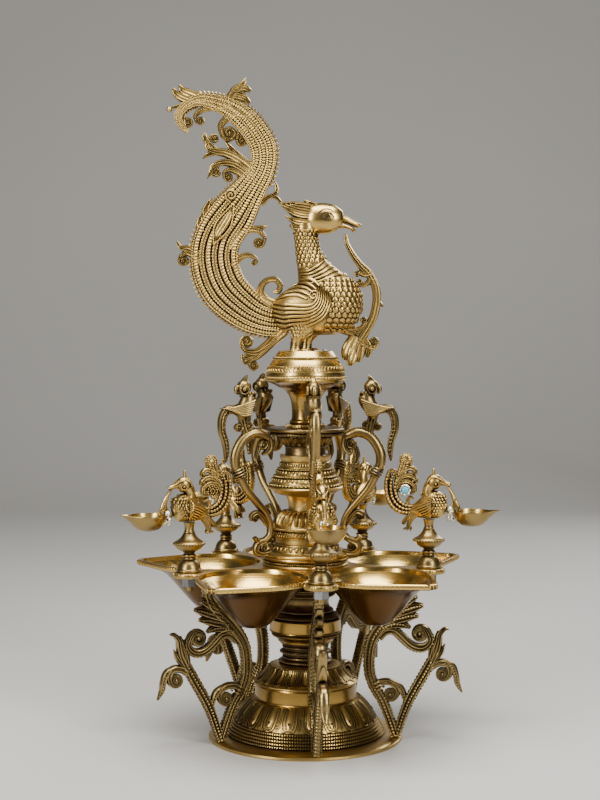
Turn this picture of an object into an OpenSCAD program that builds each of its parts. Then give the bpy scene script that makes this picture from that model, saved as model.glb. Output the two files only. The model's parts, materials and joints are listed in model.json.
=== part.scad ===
// Standing brass oil lamp: a stack of turned sections on one tie rod, with five
// bowls, five bird lamps on turning posts, five scroll handles with parrots,
// five floor brackets and a peacock finial that turns on the top of the rod.
// Origin: on the rod's axis, on the floor. +Z up. The peacock faces +X.

/* [Layout] */
// How many bowls, lamps, handles and brackets stand round the shaft
count = 5; // [5:1:5]
// Direction of the first bracket, handle and bird lamp, in degrees from +X
first_turn = -83.5; // [-90:0.5:-75]
// Radius of the circle through the bowl centres
bowl_ring_r = 112.5; // [112:0.5:114]
// Radius of the circle through the bird lamps' posts
post_ring_r = 140; // [139:0.5:141]

/* [Foot] */
// Outer radius of the foot's flange
foot_r = 110; // [109:0.5:112]
// Height of the foot bell
foot_h = 45; // [45:0.5:46]
// Radius of the plain band above the bell
lower_collar_r = 58; // [56:0.5:60]
// Thickness of the floor brackets
bracket_t = 10; // [8:0.5:10]

/* [Tray] */
// Height of the bowls' rims above the floor
tray_top = 196.4; // [196:0.1:197]
// Thickness of the tray plate and of the bowls' flanges
tray_t = 5.6; // [5:0.1:6]
// Outer radius of a bowl's flange
bowl_r = 62.4; // [61:0.1:62.5]
// Depth of a bowl, outside
bowl_depth = 53; // [50:1:55]
// How far a bowl's spout reaches from the rod's axis
spout_reach = 197; // [190:1:200]

/* [Bird lamps] */
// Radius of the stud under each post
stud_r = 4; // [3.5:0.5:4.5]
// Running clearance of a stud in its tab and nut
stud_gap = 0.05; // [0.03:0.01:0.08]
// Radius of an oil dish
dish_r = 21; // [20:0.5:22]
// How far an oil dish's tip reaches from its post
dish_reach = 79; // [76:1:80]

/* [Shaft] */
// Radius of the tie rod
rod_r = 6; // [5:0.5:6]
// Radius of the round plate that carries the column
mid_plate_r = 44; // [43:0.5:45]
// Thickness of the scroll handles
handle_t = 10; // [8:0.5:11]

/* [Finial] */
// Radius of the cap's rim
cap_r = 46; // [44:0.5:47]
// Thickness of the peacock's tail plate
tail_t = 9; // [7:0.5:10]

/* [Hidden] */
$fn = 48;
numbers = [1:1:count];
STACK = ["foot_bell", "lower_collar", "petal_dome", "beaded_neck", "upper_collar", "tray_stand",
    "tray_plate", "tray_hub", "lamp_drum", "gadroon_neck", "ring_bulge", "corbel_drum",
    "mid_plate", "column", "cap_dome", "tie_rod", "tie_nut", "post_washers", "post_nuts"];
PEACOCK = ["peacock_body", "peacock_tail", "peacock_garland", "stone"];
AROUND = ["bowl", "floor_bracket", "scroll_handle", "parrot", "lamp_post", "lamp_bird", "oil_dish"];

step = 360 / count;
rod_hole = rod_r + 0.3;
plate_z = tray_top - tray_t;
hub_z = 207;
drum_top = 240.7;
flange_z = 211.5;
bulge_z = 274.5;
corbel_z = 320.6;
mid_z = 343;
column_z = 351;
column_top = 404;
cap_z = column_top + 0.3;
cap_top = 437.6;
dish_z = 261;
dish_depth = 16.5;
dish_x = 26.5 + dish_r;
antique = [0.66, 0.52, 0.27];
polished = [0.86, 0.67, 0.31];
steel = [0.62, 0.63, 0.65];
wall = 3.2;
trim = 0.1;
nut_h = 8;
washer_h = 2;

// ---------- helpers ----------

// Turns a piece to the place of lamp, handle or bracket number i
module at_place(i) rotate([0, 0, first_turn + step * (i - 1)]) children();

// Turns a piece to the place of bowl number i, half a step further round
module at_bowl(i) rotate([0, 0, first_turn + step * (i - 0.5)]) translate([bowl_ring_r, 0, 0]) children();

// Moves a piece to the post of its place
module at_post(i) at_place(i) translate([post_ring_r, 0, 0]) children();

// Turned piece from a profile of [radius, height] points
module turned(profile) rotate_extrude($fn = 96) polygon(profile);

// Flat outline drawn in radius and height, stood upright and given a thickness.
// Its edges are drawn in by trim, so that plates that meet edge to edge just clear.
module upright(thick) rotate([90, 0, 0]) linear_extrude(thick, center = true)
    offset(delta = -trim) children();

// One value on a smooth curve from b to c, with a before and d after
function on_curve(a, b, c, d, t) =
    0.5 * (2 * b + (c - a) * t + (2 * a - 5 * b + 4 * c - d) * t * t + (3 * b - a - 3 * c + d) * t * t * t);

// A smooth path through points of [x, y, half width]
function smooth(p, n = 4) = concat(
    [for (i = [0:len(p) - 2]) for (j = [0:n - 1])
        on_curve(p[max(i - 1, 0)], p[i], p[i + 1], p[min(i + 2, len(p) - 1)], j / n)],
    [p[len(p) - 1]]);

// One edge of a band: the path moved sideways by its half width
function edge(p, side) = [for (i = [0:len(p) - 1])
    let (a = p[max(i - 1, 0)], b = p[min(i + 1, len(p) - 1)], d = [b[0] - a[0], b[1] - a[1]])
    [p[i][0] - side * d[1] / norm(d) * p[i][2], p[i][1] + side * d[0] / norm(d) * p[i][2]]];

function backwards(p) = [for (i = [len(p) - 1:-1:0]) p[i]];

// Band of changing width along a path
module band(path) {
    q = smooth(path);
    polygon(concat(edge(q, 1), backwards(edge(q, -1))));
}

// Round end of a scroll
module knob(x, y, r) translate([x, y]) circle(r);

// ---------- foot ----------

module foot_bell() color(antique) turned([
    [92, 0], [foot_r, 0], [foot_r, 4.4], [90, 6], [82, 21.4], [79, 30], [73, 38], [62, foot_h],
    [rod_hole, foot_h], [rod_hole, foot_h - 5], [57, foot_h - 5], [68, 34], [74, 27], [77, 19], [85, 5]]);

module lower_collar() color(polished) difference() {
    translate([0, 0, foot_h]) cylinder(h = 18, r = lower_collar_r);
    translate([0, 0, foot_h - 1]) cylinder(h = 20, r = lower_collar_r - wall);
}

module petal_dome() color(antique) turned([
    [54, 63], [59, 63], [59, 65.5], [52, 71], [44, 80.5], [41.5, 83], [28, 85.5],
    [rod_hole, 85.5], [rod_hole, 81], [36, 81], [48, 70]]);

module beaded_neck() color(antique) turned([
    [22, 85.5], [29.5, 85.5], [29.5, 89], [26, 90], [26, 94], [29, 96], [29, 101], [26, 103],
    [28, 110], [rod_hole, 110], [rod_hole, 106], [22, 106]]);

module upper_collar() color(polished) turned([
    [24, 110], [31, 110], [37, 115], [37, 120.5], [40.5, 121.5], [40.5, 136],
    [rod_hole, 136], [rod_hole, 132], [36, 132], [32, 119], [27, 113], [24, 113]]);

module tray_stand() color(antique) turned([
    [24, 136], [37, 136], [37, 142], [31, 145], [28, 152], [28, 160], [33, 164], [33, 170],
    [28, 173], [30, 182], [48, 187], [48, plate_z], [rod_hole, plate_z], [rod_hole, 186],
    [25, 181], [24, 173]]);

// Outline of one floor bracket, from the foot's flange to the tray plate
module bracket_outline() {
    band([[104, 4.4, 5], [90, 41.6, 5.5], [78.5, 61.4, 6], [73, 81.9, 6], [76, 111, 6.5], [92, 134, 8],
        [112, 152, 8.5], [118, plate_z - 20, 7], [118, plate_z, 6]]);
    band([[104, 4.4, 4], [117.5, 44, 5.5], [137, 80, 6], [148, 100, 5], [153, 114, 3.5], [160, 127, 3]]);
    band([[84, 118, 5], [100, 125, 5.5], [112, 116, 5.5], [125, 107, 5.5], [138, 109, 5], [142, 119, 4.5],
        [136, 127, 4]]);
    band([[146, 83, 4], [159, 90, 4], [169, 81, 4], [171, 69, 3], [176, 58, 1.5]]);
    band([[78, 60, 3.5], [90, 66, 4], [102, 64, 4], [111, 56, 4], [115, 46, 3.5]]);
    band([[100, 150, 6], [118, 157, 5], [127, 163, 1.5]]);
    band([[100, 144, 6], [122, 149, 5], [134, 153, 1.5]]);
    band([[92, 134, 6], [115, 139, 5], [129, 141, 1.5]]);
    knob(131, 117.5, 7.5);
    knob(156, 80, 7.5);
    knob(98, 56, 6.5);
}

module floor_bracket(i) color(antique) at_place(i) upright(bracket_t) intersection() {
    bracket_outline();
    translate([60, 6]) square([130, plate_z + trim - 6]);
}

// ---------- tray ----------

// Plan of one tab: the disc under a post and the neck that joins it to the plate
module tab_plan() {
    translate([post_ring_r, 0]) circle(16);
    translate([0, -10]) square([post_ring_r, 20]);
}

module tray_plate() color(antique) translate([0, 0, plate_z]) difference() {
    linear_extrude(tray_t) difference() {
        union() {
            circle(58);
            for (i = numbers) rotate(first_turn + step * (i - 1)) tab_plan();
        }
        for (i = numbers) rotate(first_turn + step * (i - 0.5)) translate([bowl_ring_r, 0])
            circle(bowl_r + 0.2);
    }
    translate([0, 0, -1]) cylinder(h = tray_t + 2, r = rod_hole);
    for (i = numbers) at_post(i) translate([0, 0, -1]) cylinder(h = tray_t + 2, r = stud_r + stud_gap);
}

// Plan of a bowl's flange: its circle drawn out to a squared spout
module flange_plan(r, tip_half) {
    tip = spout_reach - bowl_ring_r;
    circle(r);
    polygon([[0.35 * r, 0.93 * r], [tip, tip_half], [tip, -tip_half], [0.35 * r, -0.93 * r]]);
}

module bowl(i) color(polished) at_bowl(i) difference() {
    union() {
        translate([0, 0, plate_z]) linear_extrude(tray_t) flange_plan(bowl_r, 6);
        translate([0, 0, tray_top - bowl_depth]) turned([
            [0, 0], [13, 0], [19.5, 6], [31.5, 19.5], [43.5, 34], [55, 45], [60, bowl_depth - tray_t],
            [60, bowl_depth - 2], [0, bowl_depth - 2]]);
    }
    translate([0, 0, tray_top - bowl_depth]) turned([
        [0, wall], [12, wall], [17, 8], [29, 21.5], [41, 36], [52, 46.5], [57.5, bowl_depth - 4],
        [58, bowl_depth + 1], [0, bowl_depth + 1]]);
    translate([0, 0, tray_top - 3]) linear_extrude(4)
        polygon([[30, 44], [spout_reach - bowl_ring_r - 3, 3], [spout_reach - bowl_ring_r - 3, -3], [30, -44]]);
}

module tray_hub() color(antique) difference() {
    translate([0, 0, tray_top]) cylinder(h = hub_z - tray_top, r1 = 47, r2 = 49, $fn = 96);
    translate([0, 0, tray_top - 1]) cylinder(h = hub_z, r = rod_hole);
}

module post_washers() color(steel) for (i = numbers) at_post(i)
    translate([0, 0, plate_z - washer_h]) difference() {
        cylinder(h = washer_h, r = 9.5);
        translate([0, 0, -1]) cylinder(h = washer_h + 2, r = stud_r + stud_gap);
    }

module post_nuts() color(steel) for (i = numbers) at_post(i)
    translate([0, 0, plate_z - washer_h - nut_h]) difference() {
        cylinder(h = nut_h, r = 8.6, $fn = 6);
        translate([0, 0, -1]) cylinder(h = nut_h + 2, r = stud_r + stud_gap);
    }

// ---------- shaft ----------

module lamp_drum() color(antique) turned([
    [30, hub_z], [48.4, hub_z], [48.4, flange_z], [38, flange_z], [38, 219.4], [33.8, 220], [33.8, 227],
    [35.5, 228], [35.5, 235], [37, 237], [37, drum_top], [rod_hole, drum_top], [rod_hole, drum_top - 4],
    [30, drum_top - 4]]);

module gadroon_neck() color(antique) turned([
    [24, drum_top], [36, drum_top], [35, 246], [31, 252], [24, 255.5], [19.5, 257], [19.5, 268],
    [23, bulge_z], [rod_hole, bulge_z], [rod_hole, bulge_z - 4], [15, bulge_z - 4], [15, 254], [24, 248]]);

module ring_bulge() color(antique) turned([
    [19, bulge_z], [23, bulge_z], [38, 280], [42.8, 282.5], [42.8, 286], [37, 299], [31.5, 306],
    [29, 313], [28.7, corbel_z], [rod_hole, corbel_z], [rod_hole, corbel_z - 4], [25, corbel_z - 4],
    [25, 308], [38, 285], [34, 282], [19, 278]]);

module corbel_drum() color(antique) turned([
    [19, corbel_z], [23, corbel_z], [23, 329.6], [25, 330.5], [28, 341], [28, mid_z],
    [rod_hole, mid_z], [rod_hole, mid_z - 4], [19, mid_z - 4]]);

module mid_plate() color(antique) turned([
    [rod_hole, mid_z], [mid_plate_r - 1, mid_z], [mid_plate_r - 1, mid_z + 3], [mid_plate_r, mid_z + 4],
    [mid_plate_r, column_z], [rod_hole, column_z]]);

module column() color(polished) turned([
    [13, column_z], [20, column_z], [20, 355.5], [18, 356], [18, 360], [15.8, 361], [15.8, 377],
    [17, 384], [20, 390], [29, 398], [43, column_top - 1], [43, column_top], [rod_hole, column_top],
    [rod_hole, column_top - 4], [28, column_top - 4], [16, 389], [12.8, 378], [12.8, 358], [13, 354]]);

module tie_rod() color(steel) translate([0, 0, 22]) cylinder(h = 403, r = rod_r);

// The nut under the foot's web, that pulls the whole stack together
module tie_nut() color(steel) difference() {
    union() {
        translate([0, 0, foot_h - 7.5]) cylinder(h = 2.5, r = 16);
        translate([0, 0, foot_h - 17.5]) cylinder(h = 10, r = 11, $fn = 6);
    }
    translate([0, 0, foot_h - 20]) cylinder(h = 20, r = rod_r + 0.05);
}

// ---------- scroll handles and parrots ----------

module handle_outline() {
    band([[44, 342, 5], [60, 347, 5.5], [76, 340, 5.8], [85, 324, 5.8], [85, 309, 5.6], [78, 294, 5],
        [65, 275, 4.5], [47, 254, 4.2], [43, 238, 4], [50, 226, 4], [60, 224, 3.2]]);
    band([[43, 240, 3], [51, 246, 3], [60, 254, 3], [66, 250, 2.5]]);
    band([[50, 226, 4], [59, 218, 4.5], [50, 212, 4.5], [41, 209, 4.5]]);
    band([[54, 344, 4.5], [43, 335, 4], [50, 328, 4]]);
    knob(50, 333, 5);
    knob(52, 219, 5);
    knob(81, 302, 7.5);
}

// The handle's foot stands on the drum's flange and its top meets the round plate's edge
module scroll_handle(i) color(antique) at_place(i) upright(handle_t) difference() {
    handle_outline();
    translate([0, 200]) square([70, flange_z - 200]);
    translate([0, 200]) square([38.2, drum_top - 200]);
    translate([0, mid_z - 1]) square([mid_plate_r + 0.2, 20]);
}

module parrot_outline() {
    knob(75, 397, 8.6);
    band([[72, 400, 2], [71, 408, 0.6]]);
    band([[80, 400, 4], [85, 392, 1]]);
    band([[74, 392, 7], [67, 382, 9], [74, 370, 9], [88, 372, 6], [99, 375, 1.5]]);
    band([[90, 374, 5], [101, 362, 4.5], [101, 346, 4], [96.5, 332, 3.2], [96, 318, 1.2]]);
    band([[75, 370, 7], [78, 360, 5], [77, 346, 6]]);
    knob(70, 355, 6.5);
}

module parrot(i) color(antique) at_place(i) upright(handle_t) difference() {
    parrot_outline();
    handle_outline();
}

// ---------- bird lamps ----------

module lamp_post(i) color(antique) at_post(i) {
    turned([
        [0, tray_top + 0.1], [13.8, tray_top + 0.1], [13.8, 200], [8, 209], [6.5, 212.5], [7, 215.5],
        [5.5, 217], [7.8, 219], [16.8, 227], [15, 230], [6, 239], [5, 243], [6.6, 251], [0, 251]]);
    translate([0, 0, plate_z - washer_h - nut_h - 5]) cylinder(h = tray_t + washer_h + nut_h + 5.2, r = stud_r);
}

module bird_outline() {
    band([[-44, 292, 4], [-44, 272, 6.5], [-32, 260, 8], [-14, 258, 8], [0, 262, 8]]);
    band([[-44, 282, 5], [-44, 292, 4.5], [-40, 304, 4], [-32, 311, 7], [-24, 320, 6]]);
    band([[-34, 311, 7], [-32, 302, 7], [-28, 288, 6.5], [-31, 275, 4]]);
    knob(-27, 321, 6.5);
    knob(-26, 283, 5);
    band([[-14, 258, 5], [-22, 250, 4.5], [-22, 242, 3]]);
    band([[6, 278, 6], [1, 289, 5.5], [7, 294, 7]]);
    band([[5, 298, 3], [4.5, 307, 1]]);
    band([[12, 293, 4.5], [24.5, 289.5, 1.2]]);
    band([[23, 288, 1.8], [30, 276, 2.6], [28, 269, 2.2], [16, 267, 3]]);
    knob(8, 293, 7.9);
}

// The bird's round body, which the dish's tang is cut to fit
module bird_body(grow = 0) translate([4, 0, 266]) sphere(r = 15.5 + grow);

module lamp_bird(i) color(antique) at_post(i) difference() {
    union() {
        upright(7) bird_outline();
        bird_body();
    }
    translate([0, 0, 240]) cylinder(h = 11, r = 7);
}

module dish_spout(tip, root, half) polygon([
    [root, half], [root + 16, half / 2], [tip, 1], [tip, -1], [root + 16, -half / 2], [root, -half]]);

module oil_dish(i) color(antique) at_post(i) difference() {
    union() {
        translate([dish_x, 0, dish_z - dish_depth]) turned([
            [0, 0], [9, 0], [16, 5], [20, 12], [dish_r, dish_depth], [0, dish_depth]]);
        translate([dish_x, 0, dish_z - 5]) linear_extrude(5) dish_spout(dish_reach - dish_x, 6, 19.5);
        translate([14, -4, dish_z - 6]) cube([16, 8, 5]);
    }
    translate([dish_x, 0, dish_z - dish_depth]) turned([
        [0, 2.5], [8.5, 2.5], [14, 6.5], [18, 12.5], [19.3, dish_depth + 1], [0, dish_depth + 1]]);
    translate([dish_x, 0, dish_z - 2]) linear_extrude(3) dish_spout(dish_reach - dish_x - 4, 10, 14);
    bird_body(0.05);
}

module stone() color("turquoise") at_post(2) translate([-26, -3.5, 283]) rotate([90, 0, 0])
    cylinder(h = 2.5, r = 4.5);

// ---------- finial ----------

module cap_dome() color(polished) difference() {
    turned([
        [0, cap_z], [cap_r, cap_z], [cap_r, 409.5], [44.5, 411], [41.6, 417], [38, 425], [35, 430],
        [31, 433], [30, cap_top], [0, cap_top]]);
    translate([0, 0, cap_z - 1]) cylinder(h = 25, r = rod_r + 0.05);
    turned([[14, cap_z - 1], [41, cap_z - 1], [40, 410], [36, 419], [30, 427], [14, 428]]);
}

// Half outline of the bird's breast and back, about its own sloping axis
breast = [[0, -54], [14, -50], [25, -36], [31, -14], [34, 8], [32, 28], [22, 44], [0, 50]];
breast_x = 14;
breast_z = 487;
breast_slope = 78;

module neck_outline() band([[27, 580, 12], [3, 570, 13], [8, 545, 14], [22, 520, 24], [30, 500, 26]]);

module crest_outline() band([[20, 592, 10], [0, 596, 11], [-20, 598, 5], [-31, 600.2, 1.5]]);

module wing_curl_outline() {
    band([[-12, 490, 12], [-36, 500, 6], [-47, 512, 4], [-38, 522, 4]]);
    knob(-32, 517, 6);
}

module leg_outline() intersection() {
    band([[-6, 470, 13], [-4, 450, 11], [-3, 430, 14]]);
    translate([-30, cap_top + trim]) square([60, 40]);
}

module peacock_body() color(antique) {
    translate([breast_x, 0, breast_z]) rotate([0, breast_slope, 0]) turned(breast);
    translate([27, 0, 586.7]) sphere(r = 16.3);
    upright(22) neck_outline();
    upright(8) band([[36, 584, 9], [50, 579, 4], [64, 576.6, 2]]);
    upright(8) crest_outline();
    upright(10) wing_curl_outline();
    upright(24) leg_outline();
}

// The whole body's outline, kept clear of the flat pieces that meet it
module body_outline() {
    translate([breast_x, breast_z]) rotate(-breast_slope) {
        polygon(breast);
        mirror([1, 0]) polygon(breast);
    }
    neck_outline();
    crest_outline();
    wing_curl_outline();
    leg_outline();
}

module tail_outline() {
    band([[-31, 472, 18], [-47, 474, 19], [-68, 485, 22], [-92, 508, 26], [-102, 537, 25], [-98, 564, 26],
        [-81, 590, 25], [-62, 618, 17], [-48.4, 641, 14], [-47.3, 663, 14.5], [-57, 682, 14],
        [-72, 699, 13], [-92, 712, 10], [-117, 718, 7], [-132, 708, 4.5], [-134, 695, 4.5], [-126, 685, 4]]);
    band([[-66, 698, 8], [-60, 713, 6], [-62, 728, 5], [-66.4, 742, 1]]);
    band([[-62, 716, 3], [-52, 722, 4]]);
    band([[-110, 717, 6], [-128, 722, 5], [-138, 735, 1.5]]);
    band([[-128, 716, 4], [-145, 709, 3], [-153, 711, 2.5]]);
    band([[-60, 620, 10], [-80, 638, 9], [-98, 648, 8], [-113, 655, 4], [-112, 680, 2]]);
    band([[-66, 612, 8], [-90, 628, 7], [-104, 638, 6], [-109, 629, 1.5]]);
    band([[-70, 625, 6], [-84, 655, 4], [-89, 673, 1]]);
    band([[-60, 668, 8], [-78, 678, 8], [-90, 688, 6], [-84, 697, 4]]);
    band([[-105, 712, 4], [-112, 702, 4], [-118, 694, 5]]);
    band([[-120, 545, 6], [-135, 556, 2.5]]);
    band([[-84, 560, 7], [-70, 573, 5.5], [-54, 574, 5], [-41.6, 575.4, 1.5]]);
    band([[-54, 572, 3.5], [-44, 562, 4.5], [-50, 557, 4.5]]);
    band([[-80, 540, 6], [-68, 548, 4.5], [-60, 545, 4], [-57, 538, 4]]);
    band([[-52, 602, 6], [-38, 608, 3.5], [-29, 613, 3.5], [-34, 629, 1]]);
    band([[-29, 613, 3.5], [-29, 604, 3]]);
    band([[-26, 462, 7], [-40, 444, 6], [-54, 432, 5.5], [-64, 424, 5], [-60, 417, 3]]);
    band([[-54, 433, 4], [-66, 434, 4], [-68, 443, 4]]);
    knob(-62, 442, 5);
}

module peacock_tail() color(antique) upright(tail_t) difference() {
    tail_outline();
    body_outline();
}

module garland_outline() {
    band([[47.3, 572, 2], [50, 560, 3], [57, 545, 4], [71, 526, 5], [81, 500, 4.5], [77.6, 468, 5],
        [66, 450, 6], [50, 427, 7]]);
    band([[80, 496, 3], [89, 488, 1]]);
    band([[66, 524, 4], [56, 516, 4]]);
    band([[62, 450, 5], [80, 447, 2.5]]);
    band([[50, 462, 5], [60, 445, 6]]);
}

module peacock_garland() color(antique) upright(8) difference() {
    garland_outline();
    body_outline();
}

// ---------- the nodes ----------

module stack(name) {
    if (name == "foot_bell") foot_bell();
    if (name == "lower_collar") lower_collar();
    if (name == "petal_dome") petal_dome();
    if (name == "beaded_neck") beaded_neck();
    if (name == "upper_collar") upper_collar();
    if (name == "tray_stand") tray_stand();
    if (name == "tray_plate") tray_plate();
    if (name == "tray_hub") tray_hub();
    if (name == "lamp_drum") lamp_drum();
    if (name == "gadroon_neck") gadroon_neck();
    if (name == "ring_bulge") ring_bulge();
    if (name == "corbel_drum") corbel_drum();
    if (name == "mid_plate") mid_plate();
    if (name == "column") column();
    if (name == "cap_dome") cap_dome();
    if (name == "tie_rod") tie_rod();
    if (name == "tie_nut") tie_nut();
    if (name == "post_washers") post_washers();
    if (name == "post_nuts") post_nuts();
}

for (name = STACK) stack(name);
peacock_body();
peacock_tail();
peacock_garland();
stone();
for (i = numbers) {
    bowl(i);
    floor_bracket(i);
    scroll_handle(i);
    parrot(i);
    lamp_post(i);
    lamp_bird(i);
    oil_dish(i);
}
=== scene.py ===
import json
import math
import random

import bmesh
import bpy
from mathutils import Matrix, Vector


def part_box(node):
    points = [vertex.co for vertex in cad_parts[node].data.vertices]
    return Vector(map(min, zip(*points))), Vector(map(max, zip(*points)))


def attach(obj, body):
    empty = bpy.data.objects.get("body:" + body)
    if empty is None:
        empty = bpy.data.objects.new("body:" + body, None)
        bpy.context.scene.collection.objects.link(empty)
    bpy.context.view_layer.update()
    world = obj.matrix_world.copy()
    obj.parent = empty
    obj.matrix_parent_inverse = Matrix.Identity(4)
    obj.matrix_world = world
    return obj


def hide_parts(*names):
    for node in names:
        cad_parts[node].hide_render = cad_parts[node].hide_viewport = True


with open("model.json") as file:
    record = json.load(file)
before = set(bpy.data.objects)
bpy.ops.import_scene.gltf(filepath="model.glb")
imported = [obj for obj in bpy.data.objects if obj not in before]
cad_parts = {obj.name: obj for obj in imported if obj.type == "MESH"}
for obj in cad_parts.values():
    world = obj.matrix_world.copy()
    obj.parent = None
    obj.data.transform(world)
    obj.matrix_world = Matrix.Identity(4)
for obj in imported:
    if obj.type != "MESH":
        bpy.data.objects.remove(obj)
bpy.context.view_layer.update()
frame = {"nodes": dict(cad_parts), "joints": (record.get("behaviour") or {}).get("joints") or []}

# Sizes below are in millimetres, as on a maker's drawing, and are made metres when a piece is finished.
MM = 0.001
LAMPS = range(1, 6)
LAMP_PITCH = 72
SEED = 7

LENS, SENSOR = 72, 36
CAMERA_PLACE = (-0.0062, -1.8, 0.466)
CAMERA_DIP = 2.67
CREASE_ANGLE = 38


# ---------- camera, floor and lights ----------


def set_camera():
    """A long lens, nearly level, at the height of the ring bulge's top and a little left of the rod."""
    data = bpy.data.cameras.new("camera")
    data.lens = LENS
    data.sensor_width = SENSOR
    camera = bpy.data.objects.new("camera", data)
    bpy.context.collection.objects.link(camera)
    camera.location = CAMERA_PLACE
    camera.rotation_euler = (math.radians(90 - CAMERA_DIP), 0, 0)
    bpy.context.scene.camera = camera


def plain_material(name, colour, roughness):
    """A matt painted ground, a little uneven in tone."""
    mat = bpy.data.materials.new(name)
    mat.use_nodes = True
    shader = mat.node_tree.nodes["Principled BSDF"]
    shader.inputs["Roughness"].default_value = roughness
    noise = mat.node_tree.nodes.new("ShaderNodeTexNoise")
    noise.inputs["Scale"].default_value = 3
    ramp = mat.node_tree.nodes.new("ShaderNodeValToRGB")
    ramp.color_ramp.elements[0].color = (*[c * 0.96 for c in colour], 1)
    ramp.color_ramp.elements[1].color = (*colour, 1)
    coordinates = mat.node_tree.nodes.new("ShaderNodeTexCoord")
    mat.node_tree.links.new(coordinates.outputs["Object"], noise.inputs["Vector"])
    mat.node_tree.links.new(noise.outputs["Fac"], ramp.inputs["Fac"])
    mat.node_tree.links.new(ramp.outputs["Color"], shader.inputs["Base Color"])
    return mat


def set_floor():
    """A pale floor that sweeps up into a backdrop behind the lamp."""
    bm = bmesh.new()
    back, bend, high = 2.2, 0.8, 3.5
    outline = [(-4.0, 0.0), (back, 0.0)]
    outline += [(back + bend * math.sin(a), bend - bend * math.cos(a))
                for a in (math.radians(t) for t in range(10, 91, 10))]
    outline += [(back + bend, high)]
    verts = [bm.verts.new((-4, y, z)) for y, z in outline]
    edges = [bm.edges.new(pair) for pair in zip(verts, verts[1:])]
    new = bmesh.ops.extrude_edge_only(bm, edges=edges)["geom"]
    bmesh.ops.translate(bm, verts=[v for v in new if isinstance(v, bmesh.types.BMVert)], vec=(8, 0, 0))
    bmesh.ops.recalc_face_normals(bm, faces=bm.faces)
    mesh = bpy.data.meshes.new("floor")
    bm.to_mesh(mesh)
    bm.free()
    mesh.shade_smooth()
    mesh.materials.append(plain_material("pale_floor", (0.53, 0.515, 0.49), 0.7))
    floor = bpy.data.objects.new("floor", mesh)
    bpy.context.collection.objects.link(floor)


def area_light(name, place, aim, size, power, colour=(1, 1, 1)):
    """A softbox at a place, aimed at a point."""
    data = bpy.data.lights.new(name, "AREA")
    data.shape = "RECTANGLE"
    data.size, data.size_y = size
    data.energy = power
    data.color = colour
    light = bpy.data.objects.new(name, data)
    light.location = place
    light.rotation_euler = (Vector(aim) - Vector(place)).to_track_quat("-Z", "Y").to_euler()
    bpy.context.collection.objects.link(light)


def set_lights():
    """Two upright softboxes in front, one over the top and a weak fill, in a dim grey room."""
    area_light("softbox_left", (-1.5, -1.5, 1.1), (0, 0, 0.4), (0.4, 1.5), 44, (1, 0.98, 0.94))
    area_light("softbox_right", (1.3, -1.7, 1.2), (0, 0, 0.4), (0.35, 1.5), 40, (1, 0.98, 0.94))
    area_light("softbox_top", (0, -0.35, 1.7), (0, 0, 0.3), (1.3, 0.9), 46, (1, 0.98, 0.94))
    area_light("rim_light", (0.9, 1.6, 1.4), (0, 0, 0.4), (0.6, 1.2), 18)
    world = bpy.data.worlds.new("room")
    world.use_nodes = True
    world.node_tree.nodes["Background"].inputs["Color"].default_value = (0.75, 0.8, 0.85, 1)
    world.node_tree.nodes["Background"].inputs["Strength"].default_value = 0.08
    bpy.context.scene.world = world


# ---------- brass and the other finishes ----------


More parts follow.
